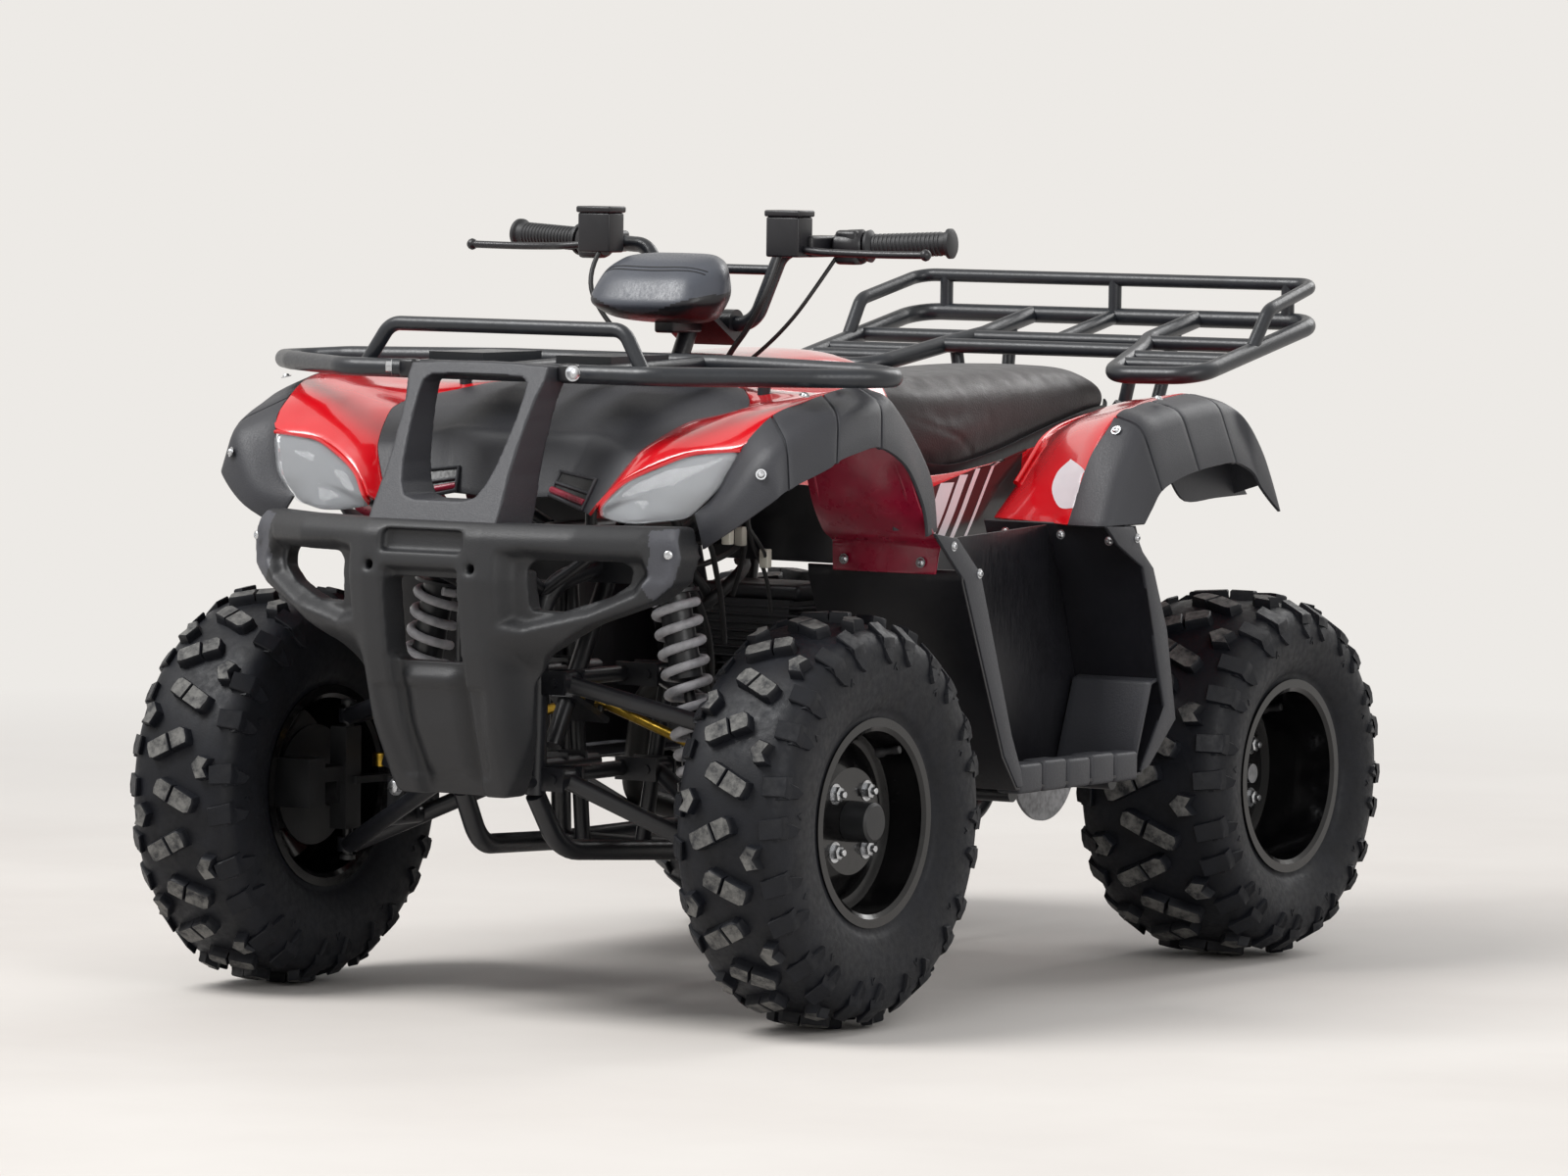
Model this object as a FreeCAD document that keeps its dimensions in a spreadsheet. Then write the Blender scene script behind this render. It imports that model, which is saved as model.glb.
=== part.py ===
import FreeCAD, Part
import math
import os
import re
import Sketcher

# Quad bike, a four-wheeled utility machine with racks front and rear.
# Millimetres. The front points to -Y, the driver's left is +X and +Z is up.
# The origin is on the ground, midway between the axles.

V = FreeCAD.Vector
doc = FreeCAD.newDocument("quad_bike")

# Driving dimensions
SIZES = (
    ("wheelbase", 1180, "front axle to rear axle"),
    ("front_tyre_radius", 280, "to the lug tips"),
    ("front_tyre_width", 176, "over the sidewalls"),
    ("rear_tyre_radius", 267, "to the lug tips"),
    ("rear_tyre_width", 244, "over the sidewalls"),
    ("lug_height", 15, "tread lugs above the carcass"),
    ("lug_width", 27, "middle lugs"),
    ("lug_angle", 25, "middle lugs, degrees askew"),
    ("tread_pitches", 12, "repeats round a tyre"),
    ("rim_radius", 141, "rim flange"),
    ("bead_radius", 127, "tyre seat, a ten inch rim"),
    ("rim_wall", 4, "pressed steel rim"),
    ("front_flange_x", 523, "outer flange of a front rim"),
    ("front_rim_width", 146, "over the flanges"),
    ("rear_flange_x", 494, "outer flange of a rear rim"),
    ("rear_rim_width", 206, "over the flanges"),
    ("front_disc_x", 484, "outer face of the front wheel disc"),
    ("rear_disc_x", 404, "outer face of the rear wheel disc"),
    ("disc_wall", 6, "wheel disc at the nuts"),
    ("hub_face_radius", 72, "flat middle of a wheel disc"),
    ("nut_circle_radius", 55, "four wheel nuts"),
    ("stud_hole_radius", 6, "wheel stud hole"),
    ("hub_radius", 30, "hub barrel and its cap"),
    ("hub_cap_reach", 40, "cap beyond the wheel disc"),
    ("spindle_radius", 12, "front stub axle"),
    ("brake_disc_radius", 84, "front brake disc"),
    ("brake_disc_wall", 4, "brake disc"),
    ("kingpin_x", 345, "steering axis of a front wheel"),
    ("upper_ball_z", 380, "upper ball joint"),
    ("lower_ball_z", 200, "lower ball joint"),
    ("ball_radius", 14, "ball joint housing"),
    ("upper_pivot_x", 92, "upper arm pivot"),
    ("upper_pivot_z", 453, "upper arm pivot"),
    ("lower_pivot_x", 92, "lower arm pivot"),
    ("lower_pivot_z", 322, "lower arm pivot"),
    ("arm_spread_front", 108, "front arm pivot ahead of the axle"),
    ("arm_spread_rear", 118, "rear arm pivot behind the axle"),
    ("arm_tube_radius", 12, "suspension arms"),
    ("pivot_radius", 15, "arm bushes"),
    ("pivot_length", 40, "arm bushes"),
    ("spring_radius", 34, "outside of the front coils"),
    ("spring_wire", 5, "coil wire radius"),
    ("coil_steps", 12, "straight runs in a turn of wire"),
    ("wire_corners", 6, "corners round the wire"),
    ("shock_top_x", 188, "upper eye of a front shock"),
    ("shock_top_z", 600, "upper eye of a front shock"),
    ("shock_low_x", 252, "lower eye of a front shock"),
    ("shock_low_z", 286, "lower eye of a front shock"),
    ("stem_tilt", 30, "steering stem, degrees from upright"),
    ("stem_radius", 13, "steering stem"),
    ("stem_foot_back", 20, "stem axis behind the front axle, at the drop arm"),
    ("stem_foot_z", 392, "height of the drop arm"),
    ("drop_arm_reach", 57, "rod pins behind the stem axis"),
    ("rod_pin_x", 22, "rod pins beside the middle"),
    ("steer_arm_reach", 62, "knuckle arm behind the kingpin"),
    ("steer_arm_inset", 12, "knuckle arm eye inboard of the kingpin"),
    ("steer_eye_z", 305, "knuckle arm eye"),
    ("tie_rod_radius", 7, "tie rods"),
    ("bar_radius", 11, "handlebar tube"),
    ("bar_clamp_back", 378, "handlebar clamp behind the front axle"),
    ("bar_clamp_z", 928, "handlebar clamp"),
    ("bar_rise", 112, "grips above the clamp"),
    ("bar_half_width", 365, "middle to the grip end"),
    ("grip_radius", 17, "rubber grip"),
    ("grip_length", 125, "rubber grip"),
    ("frame_tube_radius", 14, "frame tubes"),
    ("frame_half_low", 118, "lower rails beside the middle"),
    ("frame_half_high", 100, "upper rails beside the middle"),
    ("frame_floor_z", 206, "lower rails"),
    ("frame_top_z", 640, "upper rails"),
    ("seat_rail_z", 742, "rear end of the seat rails"),
    ("bumper_reach", 325, "front of the bumper ahead of the front axle"),
    ("bumper_bow", 108, "ends of the bumper behind its middle"),
    ("bumper_flat", 92, "flat middle of the bumper, to one side"),
    ("bumper_skin", 14, "wall of the hollow bumper"),
    ("recess_depth", 16, "slot under the top edge of the bumper"),
    ("tower_depth", 46, "guard over the bumper, front to back"),
    ("bumper_top_z", 676, "top of the bumper beam"),
    ("bumper_half_width", 340, "bumper beam"),
    ("bumper_depth", 52, "bumper beam front to back"),
    ("bib_bottom_z", 303, "lowest edge of the bumper"),
    ("winch_hole_x", 83, "bumper hole beside the middle"),
    ("winch_hole_z", 615, "bumper holes"),
    ("winch_hole_radius", 7, "bumper holes"),
    ("rack_tube_radius", 13, "rack tubes"),
    ("rack_rod_radius", 10, "upper rack rails"),
    ("front_rack_z", 872, "front rack"),
    ("front_rack_half", 494, "front rack tips, tube centre"),
    ("rear_rack_half", 352, "rear rack side tubes"),
    ("rear_rack_reach", 312, "rear rack end tube behind the rear axle"),
    ("rear_rack_end_z", 918, "rear rack end tube"),
    ("rear_rack_slope", 0.2, "rise towards the rear"),
    ("strut_radius", 9, "front rack strut"),
    ("panel_wall", 5, "moulded body panels"),
    ("groove_depth", 3, "lines across the flares"),
    ("louvres", 3, "slots on each side of the nose"),
    ("flare_lip_x", 490, "outer edge of the fender flares"),
    ("seat_half_width", 135, "seat"),
    ("seat_top_z", 832, "seat"),
    ("board_x", 500, "outer edge of a footwell"),
    ("board_inner_x", 250, "inner edge of a footwell"),
    ("board_flange", 42, "turned-back edge of a footwell"),
    ("floor_ribs", 6, "grip ribs on a footwell floor"),
    ("board_top_z", 648, "footwell board top"),
    ("footrest_z", 300, "foot platform"),
    ("axle_radius", 17, "rear axle"),
    ("sprocket_radius", 88, "rear sprocket"),
    ("sprocket_x", -86, "chain line"),
    ("chain_clearance", 6, "chain clear of the turning sprocket"),
    ("chain_width", 12, "chain"),
    ("rear_brake_x", 70, "rear brake disc"),
    ("rear_brake_radius", 90, "rear brake disc"),
    ("engine_width", 146, "crankcase"),
    ("engine_centre", 590, "middle of the crankcase ahead of the rear axle"),
    ("engine_cover_radius", 74, "round covers on the crankcase"),
    ("silencer_radius", 48, "exhaust silencer"),
    ("rear_spring_radius", 36, "outside of the rear coil"),
    ("drive_sprocket_reach", 385, "output sprocket ahead of the rear axle"),
    ("drive_sprocket_z", 300, "engine output sprocket"),
    ("drive_sprocket_radius", 34, "engine output sprocket"),
    ("swingarm_length", 290, "pivot to the rear axle"),
    ("swingarm_pivot_z", 330, "swingarm pivot"),
    ("hitch_hole_radius", 8.5, "tow plate"),
    ("hitch_reach", 110, "tow hole behind the rear axle"),
    ("hitch_half_width", 30, "tow plate"),
    ("hitch_wall", 8, "tow plate"),
    ("running_gap", 0.06, "shaft in its bore, on the radius"),
    ("seat_gap", 0.3, "between pieces that only rest on each other"),
)

sheet = doc.addObject("Spreadsheet::Sheet", "sizes")
for row, (alias, number, note) in enumerate(SIZES, 1):
    sheet.set(f"A{row}", alias)
    sheet.set(f"B{row}", str(number))
    sheet.set(f"C{row}", note)
    sheet.setAlias(f"B{row}", alias)
doc.recompute()
ALIASES = {alias for alias, _, _ in SIZES}


def size(alias):
    return float(sheet.get(alias))


def size_count(alias):
    return round(size(alias))


def value(text):
    return float(sheet.evalExpression(text))


def bound(text):
    """The expression with each alias named as the sheet's."""
    return re.sub(r"[a-z]\w*", lambda word: "sizes." + word.group() if word.group() in ALIASES else word.group(), text)


# Places worked out from the driving dimensions
front_y = -size("wheelbase") / 2
rear_y = size("wheelbase") / 2
front_z = size("front_tyre_radius")
rear_z = size("rear_tyre_radius")
tilt = math.radians(size("stem_tilt"))
stem_axis = V(0, math.sin(tilt), math.cos(tilt))
stem_foot = V(0, front_y + size("stem_foot_back"), size("stem_foot_z"))
bar_y = front_y + size("bar_clamp_back")
GAP = size("seat_gap")
SIDES = (("left", 1), ("right", -1))
pieces = {}



def feature(label, shape):
    """A sub-part whose shape is set here."""
    item = doc.addObject("Part::Feature", label)
    item.Label = label
    item.Shape = shape
    item.Placement = shape.Placement
    pieces[label] = item
    return item


def mirrored(shape):
    return shape.mirror(V(0, 0, 0), V(1, 0, 0))


def both_sides(shape):
    return Part.makeCompound([shape, mirrored(shape)])


def fused(shapes):
    first, *others = shapes
    return first.multiFuse(others).removeSplitter() if others else first


def polygon(points):
    return Part.makePolygon(list(points) + [points[0]])


def prism(points, along):
    return Part.Face(polygon(points)).extrude(along)


def loft(sections, ruled=False):
    return Part.makeLoft([polygon(section) for section in sections], True, ruled)


def faceted(rings, walled=False):
    """A closed solid of triangles through rings, capped at both ends; a wall's two faces are split alike."""
    rings = [[V(*point) for point in ring] for ring in rings]
    faces = []

    def triangle(a, b, c):
        if (b - a).cross(c - a).Length > 1e-6:
            faces.append(Part.Face(polygon([a, b, c])))

    for ring, follower in zip(rings, rings[1:]):
        for i in range(len(ring)):
            j = (i + 1) % len(ring)
            if walled and i >= len(ring) // 2:
                triangle(ring[i], ring[j], follower[i])
                triangle(ring[j], follower[j], follower[i])
            else:
                triangle(ring[i], ring[j], follower[j])
                triangle(ring[i], follower[j], follower[i])
    for ring in (rings[0][::-1], rings[-1]):
        half = len(ring) // 2
        for i in range(half):
            j, k, m = i + 1, len(ring) - 2 - i, len(ring) - 1 - i
            if j < k:
                triangle(ring[i], ring[j], ring[k])
                triangle(ring[i], ring[k], ring[m])
            elif j == k:
                triangle(ring[i], ring[j], ring[m])
    shell = Part.makeShell(faces)
    shell.sewShape()
    solid = Part.makeSolid(Part.Shell(shell.Faces))
    return solid if solid.Volume > 0 else solid.reversed()


def bent_path(points, bend):
    """Straight runs joined by tangent arcs of radius bend, smaller where a run is short."""
    points = [V(*point) for point in points]
    edges = []
    start = points[0]
    for before, corner, after in zip(points, points[1:], points[2:]):
        inward = (before - corner).normalize()
        onward = (after - corner).normalize()
        turn = math.pi - inward.getAngle(onward)
        if turn < 0.01:
            continue
        room = 0.45 * min((before - corner).Length, (after - corner).Length)
        trim = min(bend * math.tan(turn / 2), room)
        radius = trim / math.tan(turn / 2)
        middle = (inward + onward).normalize()
        centre = corner + middle * math.hypot(trim, radius)
        first = corner + inward * trim
        last = corner + onward * trim
        edges.append(Part.LineSegment(start, first).toShape())
        edges.append(Part.Arc(first, centre - middle * radius, last).toShape())
        start = last
    edges.append(Part.LineSegment(start, points[-1]).toShape())
    return Part.Wire(edges)


def tube(points, radius, bend=60):
    path = bent_path(points, bend)
    heading = V(*points[1]) - V(*points[0])
    ring = Part.Wire([Part.Circle(V(*points[0]), heading, radius).toShape()])
    return path.makePipeShell([ring], True, False)


def rod(start, end, radius):
    start, end = V(*start), V(*end)
    return Part.makeCylinder(radius, (end - start).Length, start, end - start)


def block(low, high):
    return Part.makeBox(high[0] - low[0], high[1] - low[1], high[2] - low[2], V(*low))


# PartDesign helpers
def plane(body, role):
    return next(item for item in body.Origin.OriginFeatures if item.Role == role)


def new_body(label, x="0", y="0", z="0"):
    body = doc.addObject("PartDesign::Body", label)
    body.Label = label
    for axis, text in zip("xyz", (x, y, z)):
        body.setExpression(f"Placement.Base.{axis}", bound(text))
    pieces[label] = body
    return body


def new_sketch(body, role, name):
    sketch = body.newObject("Sketcher::SketchObject", name)
    sketch.AttachmentSupport = [(plane(body, role), "")]
    sketch.MapMode = "FlatFace"
    return sketch


def pin_point(sketch, edge, end, x, y):
    """Holds a point of the sketch at sizes from the sheet."""
    for kind, text in (("DistanceX", x), ("DistanceY", y)):
        number = sketch.addConstraint(Sketcher.Constraint(kind, -1, 1, edge, end, value(text)))
        sketch.setExpression(f"Constraints[{number}]", bound(text))


def outline(body, role, name, points):
    """A closed sketch of straight edges, its corners given as pairs of expressions."""
    sketch = new_sketch(body, role, name)
    corners = [V(value(x), value(y), 0) for x, y in points]
    for start, end in zip(corners, corners[1:] + corners[:1]):
        sketch.addGeometry(Part.LineSegment(start, end), False)
    for edge in range(len(corners)):
        follower = (edge + 1) % len(corners)
        sketch.addConstraint(Sketcher.Constraint("Coincident", edge, 2, follower, 1))
    for edge, (x, y) in enumerate(points):
        pin_point(sketch, edge, 1, x, y)
    return sketch


def circles(body, role, name, rounds):
    """A sketch of circles, each given as expressions for its centre and radius."""
    sketch = new_sketch(body, role, name)
    for number, (x, y, radius) in enumerate(rounds):
        sketch.addGeometry(Part.Circle(V(value(x), value(y), 0), V(0, 0, 1), value(radius)), False)
        pin_point(sketch, number, 3, x, y)
        place = sketch.addConstraint(Sketcher.Constraint("Radius", number, value(radius)))
        sketch.setExpression(f"Constraints[{place}]", bound(radius))
    return sketch


def revolved(body, sketch, name, kind="Revolution"):
    turn = body.newObject("PartDesign::" + kind, name)
    turn.Profile = sketch
    turn.ReferenceAxis = (sketch, ["H_Axis"])
    turn.Angle = 360
    return turn


def padded(body, sketch, name, length, midplane=False, reverse=False):
    pad = body.newObject("PartDesign::Pad", name)
    pad.Profile = sketch
    pad.setExpression("Length", bound(length))
    pad.Midplane = midplane
    pad.Reversed = reverse
    return pad


def pocketed(body, sketch, name):
    """A pocket right through both ways."""
    pocket = body.newObject("PartDesign::Pocket", name)
    pocket.Profile = sketch
    pocket.Type = "ThroughAll"
    pocket.Midplane = True
    return pocket


# Places measured from an axle
def fore(distance):
    """Behind the front axle by distance."""
    return front_y + distance


def aft(distance):
    """Behind the rear axle by distance, or ahead of it where negative."""
    return rear_y + distance


def moved(shape, shift):
    copy = shape.copy()
    copy.translate(V(*shift))
    return copy


def rested(shape, neighbour, away):
    """The shape cut back so that it stops seat_gap short of its neighbour in the direction away."""
    return shape.cut(neighbour).cut(moved(neighbour, V(*away) * size("seat_gap")))


def largest(shape):
    return max(shape.Solids, key=lambda solid: solid.Volume)


def band(stations, wall):
    """A moulded strip through stations: a row of points, the way inward and how far the row is sunk."""
    sections = []
    for row, inward, *sunk in stations:
        way = V(*inward).normalize()
        outside = [V(*point) + way * (sunk[0] if sunk else 0) for point in row]
        inside = [V(*point) + way * wall for point in row]
        sections.append(outside + inside[::-1])
    return faceted(sections, True)


def grooved(stations, grooves, depth, half):
    """Stations with a narrow sunk line on either side of each that is named in grooves."""
    result = []
    for number, (row, inward) in enumerate(stations):
        if number not in grooves:
            result.append((row, inward))
            continue
        for share, sunk in ((-half, 0), (0, depth), (half, 0)):
            other = stations[number - 1 if share < 0 else number + 1][0]
            shifted = [V(*point) + (V(*end) - V(*point)) * abs(share) for point, end in zip(row, other)]
            result.append((shifted, inward, sunk))
    return result


# Wheels
def rim_profile(sign, flange, width, disc):
    """Half section of a rim with its disc, across the axle and out from it."""
    outer = f"({flange})"
    inner = f"({flange} - {width})"
    face = f"({disc})"
    back = f"({disc} - disc_wall)"
    barrel = "(bead_radius - rim_wall)"
    points = (
        (face, "spindle_radius + 10"),
        (face, "hub_face_radius"),
        (f"{face} - 22", f"{barrel} - 14"),
        (f"{face} - 16", barrel),
        (f"{outer} - rim_wall", barrel),
        (outer, "bead_radius + 2"),
        (outer, "rim_radius"),
        (f"{outer} - rim_wall", "rim_radius"),
        (f"{outer} - rim_wall - 3", "bead_radius"),
        (f"{inner} + rim_wall + 3", "bead_radius"),
        (f"{inner} + rim_wall", "rim_radius"),
        (inner, "rim_radius"),
        (inner, "bead_radius + 2"),
        (f"{inner} + rim_wall", barrel),
        (f"{face} - 24", barrel),
        (f"{face} - 30", f"{barrel} - 14"),
        (back, "hub_face_radius - 3"),
        (back, "spindle_radius + 10"),
    )
    return [(f"{sign} * ({x})", y) for x, y in points]


def stud_circle(body, name):
    reach = "nut_circle_radius * 0.70711"
    corners = [(a, b) for a in (1, -1) for b in (1, -1)]
    return circles(body, "YZ_Plane", name, [(f"{a} * {reach}", f"{b} * {reach}", "stud_hole_radius") for a, b in corners])


def rim(label, sign, y, z, flange, width, disc):
    body = new_body(label, y=y, z=z)
    revolved(body, outline(body, "XZ_Plane", label + "_section", rim_profile(sign, flange, width, disc)), label + "_turned")
    pocketed(body, stud_circle(body, label + "_studs"), label + "_stud_holes")


def front_hub(label, sign):
    """Hub barrel with its wheel flange, cap and brake disc, bored for the spindle."""
    body = new_body(label, y="-wheelbase / 2", z="front_tyre_radius")
    back = "(front_disc_x - disc_wall)"
    brake = f"({back} - 74)"
    bore = "(spindle_radius + running_gap)"
    points = (
        (brake, bore),
        (brake, "brake_disc_radius"),
        (f"{brake} + brake_disc_wall", "brake_disc_radius"),
        (f"{brake} + brake_disc_wall", "hub_radius"),
        (f"{back} - 10", "hub_radius"),
        (f"{back} - 10", "hub_face_radius - 4"),
        (back, "hub_face_radius - 4"),
        (back, "spindle_radius + 9"),
        ("front_disc_x + seat_gap", "spindle_radius + 9"),
        ("front_disc_x + seat_gap", "hub_radius - 2"),
        ("front_disc_x + hub_cap_reach - 3", "hub_radius - 3"),
        ("front_disc_x + hub_cap_reach", "hub_radius - 7"),
        ("front_disc_x + hub_cap_reach", "0"),
        (f"{back} + 6", "0"),
        (f"{back} + 6", bore),
    )
    section = outline(body, "XZ_Plane", label + "_section", [(f"{sign} * ({x})", r) for x, r in points])
    revolved(body, section, label + "_turned")


for side, sign in SIDES:
    front_hub("front_hub_" + side, sign)
    rim("front_rim_" + side, sign, "-wheelbase / 2", "front_tyre_radius", "front_flange_x", "front_rim_width", "front_disc_x")
    rim("rear_rim_" + side, sign, "wheelbase / 2", "rear_tyre_radius", "rear_flange_x", "rear_rim_width", "rear_disc_x")


def spun(section, count):
    """A closed section, given as across the axle and out from it, stepped round in flat panels."""
    rings = [[V(x, r * math.cos(turn), r * math.sin(turn)) for x, r in section]
             for turn in (2 * math.pi * (step + 0.5) / count for step in range(count))]
    faces = [Part.Face(polygon([ring[i - 1], ring[i], follower[i], follower[i - 1]]))
             for ring, follower in zip(rings, rings[1:] + rings[:1]) for i in range(len(ring))]
    shell = Part.makeShell(faces)
    shell.sewShape()
    solid = Part.makeSolid(Part.Shell(shell.Faces))
    return solid if solid.Volume > 0 else solid.reversed()


def tread_block(corners, base):
    """A lug standing on the carcass: corners as across, along the tread and height."""
    return faceted([[V(x, s, base) for x, s, _ in corners], [V(x, s, top) for x, s, top in corners]])


def bar_corners(across, length, width, angle, top):
    """Corners of a straight lug set askew across the tread."""
    turn = math.radians(angle)
    ends = ((-length / 2, -width / 2), (length / 2, -width / 2), (length / 2, width / 2), (-length / 2, width / 2))
    return [(across + a * math.cos(turn) - b * math.sin(turn), a * math.sin(turn) + b * math.cos(turn), top) for a, b in ends]


def tyre(label, y, z, flange, width, radius, rim_width):
    """Knobby tyres of one axle: a left one and its mirror image."""
    overhang = (width - rim_width) / 2
    middle = flange - rim_width / 2
    half = width / 2
    lug_height = size("lug_height")
    crown = radius - lug_height
    pitches = size_count("tread_pitches")
    panels = 2 * pitches
    seat = (size("bead_radius") + GAP) / math.cos(math.pi / panels)
    bead = half - overhang - size("rim_wall") - 3 - GAP
    side = [(bead, seat), (bead, size("rim_radius") + 5), (half - 3, size("rim_radius") + 20), (half - 4, crown - 22),
            (half - 32, crown)]
    carcass = spun(side + [(-x, r) for x, r in reversed(side)], panels)
    base = crown - 22
    bar = half * 0.68
    reach = half - 3
    shoulder = [(half * 0.42, -11, radius - 2), (reach, -24, crown - 12), (reach, 24, crown - 12), (half * 0.42, 11, radius - 2)]
    lugs = []
    for step in range(2 * pitches):
        lean = 1 if step % 2 else -1
        centre = tread_block(bar_corners(lean * half * 0.08, bar, size("lug_width"), lean * size("lug_angle"), radius), base)
        outer = tread_block([(-lean * x, s, top) for x, s, top in shoulder], base)
        for block_shape in (centre, outer):
            block_shape.rotate(V(0, 0, 0), V(1, 0, 0), 180 / pitches * step)
            lugs.append(block_shape)
    shape = carcass.multiFuse(lugs).removeSplitter()
    shape.translate(V(middle, y, z))
    feature(label + "_left", shape)
    feature(label + "_right", mirrored(shape))


tyre("front_tyre", front_y, front_z, size("front_flange_x"), size("front_tyre_width"), size("front_tyre_radius"),
     size("front_rim_width"))
tyre("rear_tyre", rear_y, rear_z, size("rear_flange_x"), size("rear_tyre_width"), size("rear_tyre_radius"),
     size("rear_rim_width"))


def rear_axle():
    """Live axle with its hubs, sprocket and brake disc, all turning as one."""
    body = new_body("rear_axle", y="wheelbase / 2", z="rear_tyre_radius")
    end = "(rear_disc_x - disc_wall)"
    points = [("-1 * (rear_disc_x + 26)", "0")]
    half = (
        ("rear_disc_x + 26", "0"),
        ("rear_disc_x + 26", "axle_radius - 3"),
        ("rear_disc_x + seat_gap", "axle_radius - 3"),
        (end, "axle_radius - 3"),
        (end, "hub_face_radius - 4"),
        (f"{end} - 10", "hub_face_radius - 4"),
        (f"{end} - 10", "hub_radius"),
        (f"{end} - 80", "hub_radius"),
        (f"{end} - 80", "axle_radius"),
    )
    disc = (
        ("rear_brake_x + 5", "axle_radius"),
        ("rear_brake_x + 5", "rear_brake_radius"),
        ("rear_brake_x", "rear_brake_radius"),
        ("rear_brake_x", "axle_radius"),
    )
    cog = (
        ("sprocket_x + 3", "axle_radius"),
        ("sprocket_x + 3", "sprocket_radius"),
        ("sprocket_x - 3", "sprocket_radius"),
        ("sprocket_x - 3", "axle_radius"),
    )
    mirror_half = [(f"-1 * ({x})", r) for x, r in reversed(half)]
    section = outline(body, "XZ_Plane", "rear_axle_section", list(half) + list(disc) + list(cog) + mirror_half)
    revolved(body, section, "rear_axle_turned")


rear_axle()


# Front suspension
def front_arm(pivot_x, pivot_z, ball_z):
    """One side's two-legged arm: bushes at the frame, a ball joint housing outboard."""
    tip = V(size("kingpin_x"), front_y, ball_z)
    ball = size("ball_radius")
    parts = [Part.makeCylinder(ball, 20, tip - V(0, 0, 10), V(0, 0, 1))]
    for reach in (-size("arm_spread_front"), size("arm_spread_rear")):
        pivot = V(pivot_x, front_y + reach, pivot_z)
        half = V(0, size("pivot_length") / 2, 0)
        parts.append(rod(pivot - half, pivot + half, size("pivot_radius")))
        parts.append(rod(pivot, tip + V(-ball * 0.4, reach * 0.04, 0), size("arm_tube_radius")))
    brace = 0.45
    ends = [V(pivot_x, front_y + reach, pivot_z) + (tip - V(pivot_x, front_y + reach, pivot_z)) * brace
            for reach in (-size("arm_spread_front"), size("arm_spread_rear"))]
    return parts, ends


def arm_bolt_hole(shape, pivot_x, pivot_z):
    """Clears the frame's pivot bolts."""
    for reach in (-size("arm_spread_front"), size("arm_spread_rear")):
        pivot = V(pivot_x, front_y + reach, pivot_z)
        half = V(0, size("pivot_length"), 0)
        shape = shape.cut(rod(pivot - half, pivot + half, BOLT_RADIUS + size("seat_gap")))
    return shape


BOLT_RADIUS = 6
KINGPIN_BOLT = 7
upper_parts, _ = front_arm(size("upper_pivot_x"), size("upper_pivot_z"), size("upper_ball_z"))
upper_arm = arm_bolt_hole(fused(upper_parts), size("upper_pivot_x"), size("upper_pivot_z"))
lower_parts, brace_ends = front_arm(size("lower_pivot_x"), size("lower_pivot_z"), size("lower_ball_z"))
shock_low = V(size("shock_low_x"), front_y + 3, size("shock_low_z"))
shock_top = V(size("shock_top_x"), front_y + 3, size("shock_top_z"))
arm_share = (size("shock_low_x") - size("lower_pivot_x")) / (size("kingpin_x") - size("lower_pivot_x"))
arm_z = size("lower_pivot_z") + (size("lower_ball_z") - size("lower_pivot_z")) * arm_share
cross_front = V(size("shock_low_x"), front_y - size("arm_spread_front") * (1 - arm_share), arm_z)
cross_rear = V(size("shock_low_x"), front_y + size("arm_spread_rear") * (1 - arm_share), arm_z)
lower_parts.append(rod(cross_front, cross_rear, size("arm_tube_radius")))
EYE_HALF = 14
for edge in (-1, 1):
    ear_y = shock_low.y + edge * (EYE_HALF + 2.5 + size("seat_gap"))
    lower_parts.append(block((shock_low.x - 14, ear_y - 2.5, arm_z - 4), (shock_low.x + 14, ear_y + 2.5, shock_low.z + 14)))
lower_parts.append(rod((shock_low.x, shock_low.y - EYE_HALF - 4, shock_low.z), (shock_low.x, shock_low.y + EYE_HALF + 4, shock_low.z), BOLT_RADIUS))
lower_arm = arm_bolt_hole(fused(lower_parts), size("lower_pivot_x"), size("lower_pivot_z"))


def ball_bore(shape, ball_z):
    """The kingpin passes each housing with a running gap."""
    foot = V(size("kingpin_x"), front_y, ball_z - 40)
    return shape.cut(Part.makeCylinder(KINGPIN_BOLT + size("running_gap"), 80, foot))


feature("upper_arms", both_sides(ball_bore(upper_arm, size("upper_ball_z"))))
feature("lower_arms", both_sides(ball_bore(lower_arm, size("lower_ball_z"))))


def coil(start, end, radius, wire, turns):
    """A helical spring from start to end, its wire in short straight runs."""
    length = (end - start).Length
    middle = radius - wire
    steps = size_count("coil_steps")
    corners = size_count("wire_corners")
    rings = []
    for step in range(turns * steps + 1):
        turn = 2 * math.pi * step / steps
        out = V(math.cos(turn), math.sin(turn), 0)
        centre = out * middle + V(0, 0, length * step / (turns * steps))
        spokes = [2 * math.pi * corner / corners for corner in range(corners)]
        rings.append([centre + out * wire * math.sin(spoke) + V(0, 0, wire * math.cos(spoke)) for spoke in spokes])
    spring = faceted(rings)
    spring.Placement = FreeCAD.Placement(start, FreeCAD.Rotation(V(0, 0, 1), end - start))
    return spring


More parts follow.
